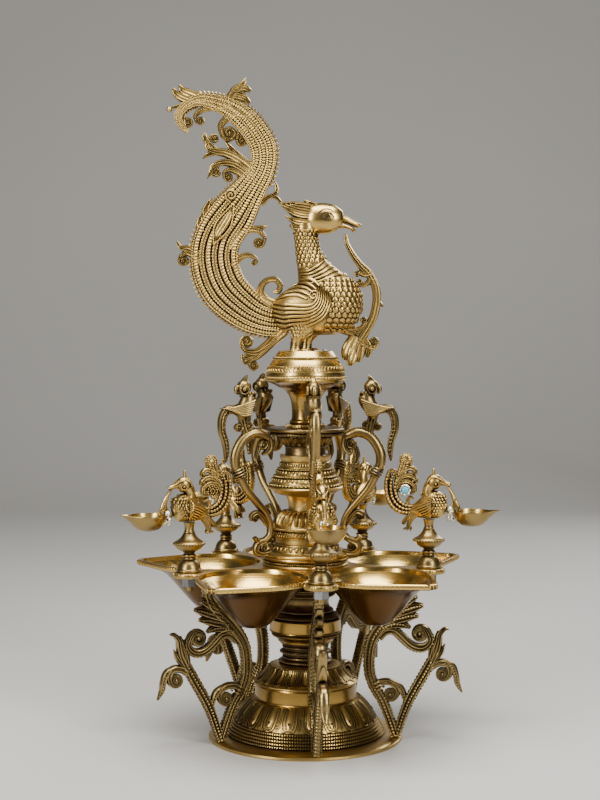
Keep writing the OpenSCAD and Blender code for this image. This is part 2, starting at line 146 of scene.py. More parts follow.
def brass_finish(name, bright, patina_and_shade, reach, roughness, grain, lines=0.0):
    """Brass that is bright on raised work and darker in recesses, within reach metres of them: partly
    patina, partly painted shade from an occlusion mask.
    """
    mat = bpy.data.materials.new(name)
    mat.use_nodes = True
    tree = mat.node_tree
    new, link = tree.nodes.new, tree.links.new
    shader = tree.nodes["Principled BSDF"]
    shader.inputs["Metallic"].default_value = 1
    coordinates = new("ShaderNodeTexCoord")

    # Occlusion mask: darkens recesses towards the patina colour, which is patina and painted shade in
    # one.
    recess_shade = new("ShaderNodeAmbientOcclusion")
    recess_shade.samples = 6
    recess_shade.only_local = True
    recess_shade.inputs["Distance"].default_value = reach
    shade_depth = new("ShaderNodeMapRange")
    shade_depth.inputs["From Min"].default_value = 0.55
    shade_depth.inputs["From Max"].default_value = 1.0
    link(recess_shade.outputs["AO"], shade_depth.inputs["Value"])

    blotches = new("ShaderNodeTexNoise")
    blotches.inputs["Scale"].default_value = 45
    blotches.inputs["Detail"].default_value = 6
    link(coordinates.outputs["Object"], blotches.inputs["Vector"])
    tone = new("ShaderNodeMixRGB")
    tone.inputs["Color1"].default_value = (*[c * 0.8 for c in bright], 1)
    tone.inputs["Color2"].default_value = (*[min(1, c * 1.08) for c in bright], 1)
    link(blotches.outputs["Fac"], tone.inputs["Fac"])

    # Lays the patina and painted shade into recesses, by the occlusion mask.
    patina_and_shade_mix = new("ShaderNodeMixRGB")
    patina_and_shade_mix.inputs["Color1"].default_value = (*patina_and_shade, 1)
    link(shade_depth.outputs["Result"], patina_and_shade_mix.inputs["Fac"])
    link(tone.outputs["Color"], patina_and_shade_mix.inputs["Color2"])
    link(patina_and_shade_mix.outputs["Color"], shader.inputs["Base Color"])

    rough = new("ShaderNodeMapRange")
    rough.inputs["To Min"].default_value = min(1, roughness + 0.22)
    rough.inputs["To Max"].default_value = roughness
    link(shade_depth.outputs["Result"], rough.inputs["Value"])
    link(rough.outputs["Result"], shader.inputs["Roughness"])

    pores = new("ShaderNodeTexNoise")
    pores.inputs["Scale"].default_value = 420
    pores.inputs["Detail"].default_value = 3
    link(coordinates.outputs["Object"], pores.inputs["Vector"])
    bump = new("ShaderNodeBump")
    bump.inputs["Strength"].default_value = grain
    bump.inputs["Distance"].default_value = 0.0004
    link(pores.outputs["Fac"], bump.inputs["Height"])
    if lines:
        stretch = new("ShaderNodeMapping")
        stretch.inputs["Scale"].default_value = (3, 3, 900)
        link(coordinates.outputs["Object"], stretch.inputs["Vector"])
        turning = new("ShaderNodeTexNoise")
        turning.inputs["Scale"].default_value = 1
        turning.inputs["Detail"].default_value = 2
        link(stretch.outputs["Vector"], turning.inputs["Vector"])
        cut = new("ShaderNodeBump")
        cut.inputs["Strength"].default_value = lines
        cut.inputs["Distance"].default_value = 0.0003
        link(turning.outputs["Fac"], cut.inputs["Height"])
        link(bump.outputs["Normal"], cut.inputs["Normal"])
        bump = cut
    link(bump.outputs["Normal"], shader.inputs["Normal"])
    return mat


def plain_finish(name, colour, metallic, roughness, scale):
    """Steel, solder and stone: a colour with slight clouds and a fine uneven surface."""
    mat = bpy.data.materials.new(name)
    mat.use_nodes = True
    tree = mat.node_tree
    new, link = tree.nodes.new, tree.links.new
    shader = tree.nodes["Principled BSDF"]
    shader.inputs["Metallic"].default_value = metallic
    coordinates = new("ShaderNodeTexCoord")
    clouds = new("ShaderNodeTexNoise")
    clouds.inputs["Scale"].default_value = scale
    clouds.inputs["Detail"].default_value = 5
    link(coordinates.outputs["Object"], clouds.inputs["Vector"])
    tone = new("ShaderNodeMixRGB")
    tone.inputs["Color1"].default_value = (*[c * 0.6 for c in colour], 1)
    tone.inputs["Color2"].default_value = (*[min(1, c * 1.25) for c in colour], 1)
    link(clouds.outputs["Fac"], tone.inputs["Fac"])
    link(tone.outputs["Color"], shader.inputs["Base Color"])
    rough = new("ShaderNodeMapRange")
    rough.inputs["To Min"].default_value = roughness * 0.7
    rough.inputs["To Max"].default_value = roughness * 1.3
    link(clouds.outputs["Fac"], rough.inputs["Value"])
    link(rough.outputs["Result"], shader.inputs["Roughness"])
    bump = new("ShaderNodeBump")
    bump.inputs["Strength"].default_value = 0.25
    bump.inputs["Distance"].default_value = 0.0003
    link(clouds.outputs["Fac"], bump.inputs["Height"])
    link(bump.outputs["Normal"], shader.inputs["Normal"])
    return mat


# The third colour of each brass is what its recesses darken to: patina, and painted shade.
ANTIQUE = brass_finish("antique_brass", (0.56, 0.385, 0.125), (0.036, 0.02, 0.007), 0.005, 0.31, 0.35)
AGED = brass_finish("aged_brass", (0.32, 0.225, 0.083), (0.024, 0.014, 0.006), 0.006, 0.33, 0.4)
# Darker brass for the floor brackets: painted shade, as they stand under the tray.
SHADED_BRACKET_BRASS = brass_finish("shaded_bracket_brass", (0.36, 0.26, 0.105), (0.012, 0.008, 0.004), 0.004, 0.3, 0.3)
DARK = brass_finish("dark_brass", (0.19, 0.125, 0.05), (0.016, 0.01, 0.005), 0.006, 0.34, 0.4)
DULL = brass_finish("dull_brass", (0.36, 0.225, 0.06), (0.06, 0.032, 0.01), 0.005, 0.25, 0.2, 0.3)
SATIN = brass_finish("satin_brass", (0.58, 0.4, 0.128), (0.10, 0.055, 0.017), 0.005, 0.26, 0.2, 0.3)
POLISHED = brass_finish("polished_brass", (0.70, 0.475, 0.135), (0.2, 0.1, 0.024), 0.006, 0.19, 0.06, 0.3)
# Dark brass for the bowls' undersides: painted shade and painted dark reflection.
UNDERSIDE_SHADE = brass_finish("underside_shade_brass", (0.125, 0.062, 0.018), (0.04, 0.02, 0.007), 0.008, 0.24, 0.1, 0.3)
STEEL = plain_finish("zinc_steel", (0.27, 0.275, 0.285), 1.0, 0.42, 160)
SOLDER = plain_finish("solder", (0.74, 0.74, 0.72), 1.0, 0.3, 260)
# Black for the peacock's eye lines, and painted shade for the foot's drilled holes.
BLACK_LINES_AND_HOLE_SHADE = plain_finish("black_lines_and_hole_shade", (0.045, 0.028, 0.014), 0.7, 0.5, 300)
STONE = plain_finish("blue_paste", (0.10, 0.48, 0.66), 0.0, 0.25, 500)


# ---------- making and finishing pieces ----------


class Casting:
    """Shapes gathered into one piece."""

    def __init__(self):
        """Starts with nothing in the mould."""
        self.bm = bmesh.new()

    def add(self, shape, places=(Matrix.Identity(4),)):
        """Adds a copy of the shape at each place."""
        copy = bpy.data.meshes.new("copy")
        shape.to_mesh(copy)
        shape.free()
        for place in places:
            back = place.inverted()
            copy.transform(place)
            self.bm.from_mesh(copy)
            copy.transform(back)
        bpy.data.meshes.remove(copy)

    def finish(self, name, finish, body, slot, stands_for=(), place=None, keep=False, under=None):
        """Makes the piece in metres, at its place, and gives it to its body. Its downward-facing faces
        may take a second, darker finish, as painted shade.
        """
        mesh = bpy.data.meshes.new(name)
        self.bm.to_mesh(mesh)
        if not keep:
            self.bm.free()
        if place:
            mesh.transform(place)
        mesh.transform(Matrix.Scale(MM, 4))
        mesh.materials.append(finish)
        if under:
            mesh.materials.append(under)
            # Faces that look downwards take the second finish: painted shade on the underside.
            for face in mesh.polygons:
                face.material_index = int(face.normal.z < -0.12)
        mesh.shade_smooth()
        mesh.set_sharp_from_angle(angle=math.radians(CREASE_ANGLE))
        made = bpy.data.objects.new(name, mesh)
        bpy.context.collection.objects.link(made)
        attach(made, body)
        if stands_for:
            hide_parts(*stands_for)
        return made


def foot_of(node):
    """The height of a piece's lowest point."""
    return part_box(node)[0][2] / MM


def shift(x, y, z):
    """A place moved by this much."""
    return Matrix.Translation((x, y, z))


def turn(degrees, axis="Z"):
    """A place turned about an axis."""
    return Matrix.Rotation(math.radians(degrees), 4, axis)


def ring_places(count, radius, height, start=0.0):
    """Places spaced evenly round the rod, each with its own X pointing outwards."""
    return [turn(start + 360 * k / count) @ shift(radius, 0, height) for k in range(count)]


POSTS = {i: next(Vector(j["pos_m"]) / MM for j in frame["joints"] if j["child"] == f"bird_lamp_{i}")
         for i in LAMPS}
LAMP_TURN = {i: math.degrees(math.atan2(POSTS[i].y, POSTS[i].x)) for i in LAMPS}
POST_RING = POSTS[1].xy.length


def arc(start, end, sag, steps):
    """Points on a shallow curve from start to end, bowed to the right by sag."""
    a, b = Vector(start), Vector(end)
    side = Vector((b.y - a.y, a.x - b.x)).normalized()
    return [tuple(a.lerp(b, k / steps) + side * sag * 4 * (k / steps) * (1 - k / steps))
            for k in range(steps + 1)]


def half_round(radius, low, high, out, steps):
    """A round moulding between two heights, standing out from a radius."""
    return [(radius + out * math.sin(math.pi * k / steps),
             (low + high) / 2 - (high - low) / 2 * math.cos(math.pi * k / steps))
            for k in range(steps + 1)]


def turned(profile, closed=True, steps=120):
    """A section turned from (radius, height) points: a closed loop, or a line from axis to axis."""
    bm = bmesh.new()
    verts = [bm.verts.new((r, 0, z)) for r, z in profile]
    pairs = list(zip(verts, verts[1:])) + ([(verts[-1], verts[0])] if closed else [])
    edges = [bm.edges.new(pair) for pair in pairs]
    bmesh.ops.spin(bm, geom=verts + edges, cent=(0, 0, 0), axis=(0, 0, 1), angle=math.tau, steps=steps,
                   use_merge=True)
    bmesh.ops.remove_doubles(bm, verts=bm.verts, dist=0.001)
    bmesh.ops.recalc_face_normals(bm, faces=bm.faces)
    return bm


def bead(size, stretch=(1, 1, 1), sides=8, rows=5):
    """A round bead, or a long or flat one when it is stretched."""
    bm = bmesh.new()
    bmesh.ops.create_uvsphere(bm, u_segments=sides, v_segments=rows, radius=size)
    bmesh.ops.scale(bm, verts=bm.verts, vec=stretch)
    return bm


def twist_bead(length, thick, slant):
    """One strand of a rope ring, lying across the ring at a slant."""
    bm = bead(1, (thick, thick, length), 6, 4)
    bmesh.ops.rotate(bm, verts=bm.verts, cent=(0, 0, 0), matrix=turn(slant, "X"))
    return bm


def petal(line, half_angle, lift, across, along):
    """A raised petal, wrapped on a turned surface that line gives from its round tip to its root.

    line maps 0..1 to (radius, height). The petal has a rim, a groove and a swelling middle.
    """
    bm = bmesh.new()
    bmesh.ops.create_grid(bm, x_segments=across, y_segments=along, size=1)
    for v in bm.verts:
        u, t = v.co.x, (v.co.y + 1) / 2
        r, z = line(t)
        r2, z2 = line(min(1, t + 0.02))
        r1, z1 = line(max(0, t - 0.02))
        normal = Vector((z2 - z1, r1 - r2)).normalized()
        narrow = math.sqrt(max(0, 1 - max(0, 1 - t / 0.3) ** 2))
        edge = max(abs(u), 1 - t / 0.16 if t < 0.16 else 0)
        height = lift * (1 - 0.55 * math.exp(-((edge - 0.66) / 0.12) ** 2)) - lift * 1.2 * (edge > 0.97)
        height += lift * 0.35 * (1 - min(1, abs(u) / 0.5)) ** 2
        angle = math.radians(half_angle) * u * (0.18 + 0.82 * narrow)
        out = r + normal.x * height
        v.co = (out * math.cos(angle), out * math.sin(angle), z + normal.y * height)
    bmesh.ops.recalc_face_normals(bm, faces=bm.faces)
    if sum((f.calc_center_median().x * f.normal.x + f.normal.z for f in bm.faces)) < 0:
        bmesh.ops.reverse_faces(bm, faces=bm.faces)
    bmesh.ops.solidify(bm, geom=bm.faces, thickness=0.5)
    return bm


def line_through(points):
    """A function from 0..1 to the point that far along a line of (radius, height) points."""
    lengths = [math.dist(a, b) for a, b in zip(points, points[1:])]
    total = sum(lengths)

    def at(t):
        """The point this part of the way along."""
        left = min(max(t, 0), 1) * total
        for a, b, length in zip(points, points[1:], lengths):
            if left <= length:
                k = left / length
                return (a[0] + (b[0] - a[0]) * k, a[1] + (b[1] - a[1]) * k)
            left -= length
        return points[-1]

    return at


# ---------- the turned stack ----------


def make_foot_bell():
    """The foot: a flat flange, five rope rings and a ring of lotus petals with drilled dots, drawn as
    dark beads that paint the shade in the holes.
    """
    cast = Casting()
    rope_z = [7.6, 10.7, 13.8, 16.9, 20.0]
    rope_r = [89.0, 87.4, 85.6, 83.8, 82.0]
    bell = arc((80, 22), (62, 45), 1.6, 10)
    profile = [(92, 0), (109.2, 0), (110, 1.2), (109.6, 3.4), (108.4, 4.3), (98, 4.9), (90.5, 6)]
    for r, z in zip(rope_r, rope_z):
        profile += half_round(r - 1.2, z - 1.5, z + 1.5, 0.8, 4)
    profile += [(81.5, 21.8)] + bell
    profile += [(54, 45), (54, 41), (66, 32), (73, 22), (78, 12), (85, 5)]
    cast.add(turned(profile, steps=160))
    for r, z in zip(rope_r, rope_z):
        cast.add(bead(1.45, (1, 0.86, 0.98), 6, 4), ring_places(round(r * 2.2), r - 0.3, z))
    line = line_through([(81, 22.2)] + bell)
    cast.add(lotus_petal(line, 29, 8.2, 6.4), ring_places(20, 0, 0, 4))
    cast.add(bead(0.75, sides=6, rows=4), ring_places(220, 62.4, 44.3))
    # Drilled dots: dark beads standing for the shade inside the holes, painted shade.
    dots = Casting()
    r, z = line(0.36)
    dots.add(bead(1.35, (0.6, 1, 1.1), 10, 6), ring_places(20, r + 1.0, z + 0.45, 4))
    dots.finish("foot_drilled_dots", BLACK_LINES_AND_HOLE_SHADE, "lamp", "antique_brass")
    cast.finish("foot_bell_relief", ANTIQUE, "lamp", "antique_brass", ["foot_bell"])


def make_lower_collar():
    """A plain band between the foot and the petal dome."""
    low = foot_of("lower_collar")
    cast = Casting()
    cast.add(turned([(50, low), (58.2, low), (58.6, low + 1), (58.2, low + 2), (57.6, low + 2.6),
                     (57.6, low + 15.6), (58, low + 16.4), (57.6, low + 18), (50, low + 18)]))
    cast.finish("lower_collar_band", DULL, "lamp", "polished_brass", ["lower_collar"])


def make_petal_dome():
    """The upper dome, with its own lotus petals."""
    low = foot_of("petal_dome")
    cast = Casting()
    dome = [(57.5, low + 3.2)] + arc((56.5, low + 4), (41.5, low + 18.6), -2.2, 8)
    profile = [(52, low), (58.2, low), (59, low + 0.8), (59, low + 2), (58, low + 2.8)] + dome
    profile += half_round(38.5, low + 18.6, low + 20.2, 1.2, 4)
    profile += [(28, low + 22.5), (20, low + 22.5), (20, low + 18), (40, low + 12), (50, low + 4)]
    cast.add(turned(profile, steps=160))
    cast.add(lotus_petal(line_through(dome), 21, 5.6, 5), ring_places(20, 0, 0, 0))
    cast.add(bead(0.9, sides=6, rows=4), ring_places(170, 58.9, low + 1.6))
    cast.add(bead(1.0), ring_places(96, 39.5, low + 19.4))
    cast.finish("petal_dome_relief", ANTIQUE, "lamp", "antique_brass", ["petal_dome"])


def make_beaded_neck():
    """The narrow neck with bead rows."""
    low = foot_of("beaded_neck")
    cast = Casting()
    profile = [(18, low), (30, low)] + half_round(28.4, low + 0.4, low + 3.4, 1.4, 5)
    profile += [(26, low + 4)] + half_round(25.6, low + 4.4, low + 7.4, 1.0, 5)
    profile += [(24.6, low + 8.4), (24.6, low + 9.6)] + half_round(26.4, low + 10, low + 14.4, 1.6, 6)
    profile += [(24.8, low + 15), (24.8, low + 16.6)] + half_round(25.4, low + 17, low + 19.4, 1.2, 5)
    profile += [(26.4, low + 20), (28.6, low + 22.6), (28.6, low + 24.5), (18, low + 24.5)]
    cast.add(turned(profile))
    cast.add(bead(1.5), ring_places(52, 27.8, low + 12.2))
    cast.add(bead(1.0), ring_places(72, 29.6, low + 1.9))
    cast.add(bead(0.9), ring_places(76, 28.8, low + 23.4))
    cast.finish("beaded_neck_relief", DARK, "lamp", "antique_brass", ["beaded_neck"])


def make_upper_collar():
    """A stepped ledge and a plain band."""
    low = foot_of("upper_collar")
    cast = Casting()
    profile = [(22, low), (31, low)] + arc((31, low + 0.6), (37.4, low + 6), -0.9, 5)
    profile += half_round(36.8, low + 6.4, low + 9.4, 1.0, 5) + [(38.4, low + 10.2), (40.2, low + 11)]
    profile += [(41, low + 11.8), (40.7, low + 12.8), (40.4, low + 13), (40.4, low + 24.4),
                (40.8, low + 25)]
    profile += [(40.4, low + 26), (22, low + 26)]
    cast.add(turned(profile))
    cast.add(bead(0.9), ring_places(100, 37.9, low + 7.9))
    cast.finish("upper_collar_band", DULL, "lamp", "polished_brass", ["upper_collar"])


def make_tray_stand():
    """The dark stepped rings that carry the tray."""
    low = foot_of("tray_stand")
    cast = Casting()
    profile = [(20, low), (37, low)] + half_round(36, low + 0.4, low + 4.4, 1.6, 5)
    profile += [(33, low + 6)] + half_round(30.5, low + 7, low + 10.4, 1.4, 5) + [(28, low + 12)]
    profile += arc((28, low + 12), (28, low + 24), -1.8, 6) + half_round(31, low + 25, low + 29.4, 2.2, 6)
    profile += [(31, low + 31)] + half_round(30.5, low + 31.6, low + 34.6, 1.6, 5) + [(28, low + 37)]
    profile += arc((28, low + 38), (47, low + 51), 2.4, 8)
    profile += [(48, low + 52), (48, low + 54.8), (20, low + 54.8)]
    cast.add(turned(profile))
    cast.add(bead(1.2), ring_places(80, 37.2, low + 2.4))
    cast.add(bead(1.0), ring_places(84, 33.0, low + 27.2))
    cast.add(twist_bead(5, 1.5, 0), ring_places(36, 35.5, low + 45))
    cast.finish("tray_stand_rings", DARK, "lamp", "antique_brass", ["tray_stand"])


def make_tray_hub():
    """The round hub in the middle of the tray."""
    low = foot_of("tray_hub")
    cast = Casting()
    profile = [(10, low), (47.4, low), (48.6, low + 1.2), (48, low + 2.4), (45.6, low + 3.6),
               (45.2, low + 6)]
    profile += [(48, low + 8), (49, low + 9.2), (48.6, low + 10.6), (10, low + 10.6)]
    cast.add(turned(profile))
    cast.add(bead(1.1), ring_places(110, 46.2, low + 4.8))
    cast.finish("tray_hub_ring", ANTIQUE, "lamp", "antique_brass", ["tray_hub"])


def make_lamp_drum():
    """The banded drum that the handles stand on."""
    low = foot_of("lamp_drum")
    cast = Casting()
    profile = [(20, low), (47, low)] + half_round(47.2, low + 0.2, low + 3.8, 1.2, 6) + [(45, low + 4.6)]
    profile += [(38.4, low + 5.2)] + arc((38.2, low + 5.8), (36.6, low + 12.2), -0.5, 4)
    profile += half_round(35.4, low + 12.4, low + 14, 0.9, 4) + [(33.8, low + 14.4), (33.6, low + 20)]
    profile += half_round(34, low + 20.2, low + 21.8, 1.0, 4) + [(34.6, low + 22)]
    profile += arc((34.6, low + 22), (34.6, low + 28.6), 0.9, 5)
    profile += [(36, low + 29), (37.2, low + 30.4), (37.2, low + 32.6), (36, low + 33.7),
                (20, low + 33.7)]
    cast.add(turned(profile))
    cast.add(bead(1, (1.0, 2.0, 2.9)), ring_places(34, 37.4, low + 8.8))
    cast.add(bead(0.7), ring_places(34, 37.8, low + 10.9, 180 / 34))
    cast.add(bead(1.25), ring_places(60, 35.6, low + 24))
    cast.add(bead(1.25), ring_places(60, 35.4, low + 26.9, 3))
    cast.add(bead(0.8), ring_places(110, 37.2, low + 31.4))
    cast.finish("lamp_drum_relief", ANTIQUE, "lamp", "antique_brass", ["lamp_drum"])


def make_gadroon_neck():
    """A ribbed shoulder under a plain waisted neck."""
    low = foot_of("gadroon_neck")
    cast = Casting()
    shoulder = arc((34.6, low), (24, low + 14.6), 3.2, 8)
    profile = [(16, low)] + shoulder + half_round(19.4, low + 14.8, low + 17.4, 2.6, 5)
    profile += arc((19.4, low + 17.6), (22.4, low + 33.8), -1.4, 8) + [(16, low + 33.8)]
    cast.add(turned(profile))
    rib = petal(line_through([(34.4, low + 0.6)] + shoulder[1:]), 5.4, 2.0, 6, 8)
    cast.add(rib, ring_places(30, 0, 0))
    cast.add(bead(1.0), ring_places(70, 22, low + 16))
    cast.finish("gadroon_neck_relief", ANTIQUE, "lamp", "antique_brass", ["gadroon_neck"])


def make_ring_bulge():
    """The wide bulge with rings of beads and leaves."""
    low = foot_of("ring_bulge")
    cast = Casting()
    profile = [(16, low), (22.6, low)] + arc((22.6, low + 0.4), (40.4, low + 7.4), 1.6, 7)
    profile += [(42.4, low + 8.4), (42.8, low + 9.6), (42, low + 10.8), (40.4, low + 11.4)]
    profile += half_round(39, low + 11.6, low + 14, 1.0, 4)
    profile += arc((38.6, low + 14.4), (35, low + 21), 0.8, 5)
    profile += half_round(34.2, low + 21.2, low + 23.6, 1.2, 4)
    profile += arc((33.4, low + 24), (30.6, low + 29.4), 0.8, 5)
    profile += [(31.4, low + 30), (31.4, low + 31.4)] + arc((29.6, low + 32), (28, low + 38), -0.4, 4)
    profile += [(27, low + 39), (28.8, low + 43.4), (28.8, low + 46.1), (16, low + 46.1)]
    cast.add(turned(profile))
    cast.add(bead(1, (1.5, 1.7, 1.6)), ring_places(56, 40.2, low + 12.8))
    cast.add(bead(1, (1.5, 1.6, 2.7)), ring_places(48, 37.4, low + 17.6))
    cast.add(bead(1.3, (1.1, 1, 1)), ring_places(70, 35.2, low + 22.4))
    cast.add(bead(1, (1.5, 1.5, 2.4)), ring_places(44, 32.6, low + 26.8))
    cast.add(bead(0.9), ring_places(80, 31.4, low + 30.7))
    cast.add(bead(1, (0.9, 1.1, 2.6)), ring_places(64, 28.8, low + 35))
    cast.finish("ring_bulge_relief", ANTIQUE, "lamp", "antique_brass", ["ring_bulge"])


def make_corbel_drum():
    """A plain drum under a ring of small leaves."""
    low = foot_of("corbel_drum")
    cast = Casting()
    profile = [(16, low), (23.4, low), (22.8, low + 1), (22.8, low + 8.4)]
    profile += half_round(22.8, low + 8.6, low + 10.2, 1.0, 4)
    profile += arc((23, low + 10.6), (30, low + 21), -1.0, 6) + [(30, low + 22.4), (16, low + 22.4)]
    cast.add(turned(profile))
    leaf = line_through(arc((30.6, low + 21), (24, low + 10.8), -1.2, 6))
    cast.add(petal(leaf, 8.4, 2.0, 8, 8), ring_places(20, 0, 0))
    cast.finish("corbel_drum_relief", DARK, "lamp", "antique_brass", ["corbel_drum"])


def make_mid_plate():
    """The double round plate that the handles reach."""
    low = foot_of("mid_plate")
    cast = Casting()
    profile = [(12, low), (41.6, low)] + half_round(41.8, low, low + 3.0, 1.2, 4) + [(40.8, low + 3.3)]
    profile += half_round(41.8, low + 3.5, low + 8.0, 2.2, 7) + [(12, low + 8)]
    cast.add(turned(profile))
    cast.add(bead(1.3, (1, 1, 1), 6, 4), ring_places(84, 42.6, low + 1.6))
    cast.finish("mid_plate_rims", DARK, "lamp", "antique_brass", ["mid_plate"])


def make_column():
    """The polished waisted column, with a rope ring at its foot."""
    low = foot_of("column")
    cast = Casting()
    profile = [(12, low), (21, low)] + half_round(19.4, low + 0.2, low + 4, 1.6, 5) + [(18.4, low + 4.6)]
    profile += half_round(17, low + 5, low + 8.4, 1.2, 5) + [(16, low + 9.6)]
    profile += arc((15.8, low + 10), (16, low + 26), -0.5, 6)
    profile += arc((16, low + 26), (30, low + 45.4), -3.8, 10)[1:]
    profile += arc((30, low + 45.4), (43.4, low + 51.6), -0.8, 6)[1:] + [(43.8, low + 53), (12, low + 53)]
    cast.add(turned(profile))
    cast.finish("column_shaft", DULL, "lamp", "polished_brass", ["column"])
    rope = Casting()
    rope.add(twist_bead(2.4, 1.35, 30), ring_places(44, 21.2, low + 2.1))
    rope.finish("column_rope", ANTIQUE, "lamp", "antique_brass")


def make_cap_dome():
    """The domed cap, with its engraved band and bead rows."""
    low = foot_of("cap_dome")
    cast = Casting()
    side = arc((44.6, low + 6), (36.4, low + 24), 1.3, 10)
    profile = [(8, low), (45.4, low), (46, low + 1), (45.6, low + 2.2), (45, low + 2.6)]
    profile += half_round(44.4, low + 2.8, low + 5.2, 1.0, 4) + side
    profile += half_round(35, low + 24.4, low + 26.4, 0.5, 4)
    profile += [(33.6, low + 28.4), (31.6, low + 31.4), (30.4, low + 33)]
    profile += [(8, low + 33)]
    cast.add(turned(profile, steps=140))
    cast.finish("cap_dome_turned", SATIN, "finial", "polished_brass", ["cap_dome"])
    relief = Casting()
    relief.add(bead(1.65), ring_places(84, 44.8, low + 3.2))
    at = line_through(side)
    for t, count in ((0.28, 60), (0.42, 60)):
        r, z = at(t)
        slash = twist_bead(2.6, 0.85, 35 if t < 0.35 else -35)
        relief.add(slash, ring_places(count, r + 0.2, z))
    for t in (0.2, 0.52, 0.97):
        r, z = at(t)
        relief.add(bead(0.85, sides=6, rows=4), ring_places(120, r + 0.1, z))
    relief.add(bead(1.25), ring_places(84, 35.6, low + 25.6))
    relief.finish("cap_dome_engraving", ANTIQUE, "finial", "antique_brass")


def make_turned_stack():
    """Every section on the rod, from the floor up."""
    make_foot_bell()
    make_lower_collar()
    make_petal_dome()
    make_beaded_neck()
    make_upper_collar()
    make_tray_stand()
    make_tray_hub()
    make_lamp_drum()
    make_gadroon_neck()
    make_ring_bulge()
    make_corbel_drum()
    make_mid_plate()
    make_column()
    make_cap_dome()


# ---------- chased stems, scrolls and leaves ----------


def on_curve(a, b, c, d, t):
    """A value between b and c on the smooth curve through four values."""
    return 0.5 * (2 * b + (c - a) * t + (2 * a - 5 * b + 4 * c - d) * t * t +
                  (3 * b - a - 3 * c + d) * t ** 3)


def smooth_path(points, n):
    """More points along a smooth curve through the given ones."""
    path = []
    for i in range(len(points) - 1):
        four = [points[max(i - 1, 0)], points[i], points[i + 1], points[min(i + 2, len(points) - 1)]]
        path += [tuple(on_curve(*values, k / n) for values in zip(*four)) for k in range(n)]
    return path + [tuple(points[-1])]


def stations(points, thick, n=5, y=0.0):
    """Places (x, y, z, half width, half thickness) along a stem drawn as (x, z, half width) points."""
    return [(x, y, z, max(w, 0.15), min(thick, 0.4 + 1.3 * max(w, 0.1)))
            for x, z, w in smooth_path(points, n)]


def upright(points, n):
    """Stations of a body in the middle plane, drawn as (x, z, half height, half width) points."""
    return [(x, 0, z, w, t) for x, z, w, t in smooth_path(points, n)]


def ring_line(x, z, wide, high, steps):
    """Points once round an oval that lies in the upright plane."""
    return [(x + wide * math.cos(math.tau * k / steps), z + high * math.sin(math.tau * k / steps))
            for k in range(steps + 1)]


def ridged(ridges, dip, per):
    """A stem's section, with ridges along it on both faces and grooves between them."""
    n = ridges * per
    front = [(-1 + 2 * k / n,
              1 - dip * (0.5 + 0.5 * math.cos(math.tau * ridges * k / n)) -
              0.3 * abs(2 * k / n - 1) ** 6) for k in range(n + 1)]
    return front + [(a, -b) for a, b in reversed(front)]


def oval(sides):
    """A plain round section."""
    return [(math.cos(math.tau * k / sides), math.sin(math.tau * k / sides)) for k in range(sides)]


ROUND = oval(12)
GROOVED = ridged(2, 0.25, 5)
RIBBED = ridged(3, 0.27, 5)


def side_of(path, i):
    """The direction across a stem, in its plane, at one of its stations."""
    a, b = path[max(i - 1, 0)], path[min(i + 1, len(path) - 1)]
    return Vector((b[2] - a[2], 0, a[0] - b[0])).normalized()


def swept(path, loop=ROUND, level=False):
    """A solid stem of the given section, closed at both ends. Its sections are square to it, or level."""
    rows = [(*path[0][:3], 0, 0)] + path + [(*path[-1][:3], 0, 0)]
    sides = [side_of(path, 0)] + [side_of(path, i) for i in range(len(path))] + [
        side_of(path, len(path) - 1)]
    if level:
        sides = [Vector((1, 0, 0))] * len(rows)
    bm = bmesh.new()
    bmesh.ops.create_grid(bm, x_segments=len(loop), y_segments=len(rows) - 1, size=1)
    for v in bm.verts:
        a, b = loop[round((v.co.x + 1) / 2 * len(loop)) % len(loop)]
        k = round((v.co.y + 1) / 2 * (len(rows) - 1))
        x, y, z, w, t = rows[k]
        v.co = Vector((x, y + b * t, z)) + sides[k] * (a * w)
    bmesh.ops.remove_doubles(bm, verts=bm.verts, dist=0.002)
    bmesh.ops.recalc_face_normals(bm, faces=bm.faces)
    return bm


def lie(x, y, z, degrees):
    """A place on a face of a flat casting, with the copy's X turned this way in the upright plane."""
    return shift(x, y, z) @ turn(-degrees, "Y")


def along(path, pitch, across, out, faces=(1, -1), lean=0.0, full=0.0):
    """Places spaced evenly along a stem, set off across it and out from its middle.

    The offsets are in half widths and half thicknesses.
    With full given, the copies shrink where the stem is narrower than that.
    """
    places, left = [], pitch / 2
    for i in range(len(path) - 1):
        a, b = path[i], path[i + 1]
        run = Vector((b[0] - a[0], b[1] - a[1], b[2] - a[2]))
        length = run.length
        while left < length:
            k = left / length
            x, y, z, w, t = [p + (q - p) * k for p, q in zip(a, b)]
            side = side_of(path, i).lerp(side_of(path, i + 1), k)
            angle = math.degrees(math.atan2(run.z, run.x)) + lean
            size = min(1, max(0.45, w / full)) if full else 1
            for face in faces:
                places.append(lie(x + side.x * across * w, y + face * out * t, z + side.z * across * w,
                                  angle) @ Matrix.Scale(size, 4))
            left += pitch * size
        left -= length
    return places


def scroll(cast, points, thick, loop=GROOVED, size=0.0, pitch=2.6, across=(0.0,), out=0.9):
    """A stem with rows of beads along it."""
    path = stations(points, thick)
    cast.add(swept(path, loop))
    for a in across if size else ():
        cast.add(bead(size, (1, 0.9, 1), 6, 4), along(path, pitch, a, out))
    return path


def button(radius, half):
    """A flat round ground for a curl, with its axis along Y."""
    shape = turned([(0, -half), (radius * 0.92, -half), (radius, -half * 0.7), (radius, half * 0.7),
                    (radius * 0.92, half), (0, half)], closed=False, steps=18)
    bmesh.ops.rotate(shape, verts=shape.verts, cent=(0, 0, 0), matrix=turn(90, "X"))
    return shape


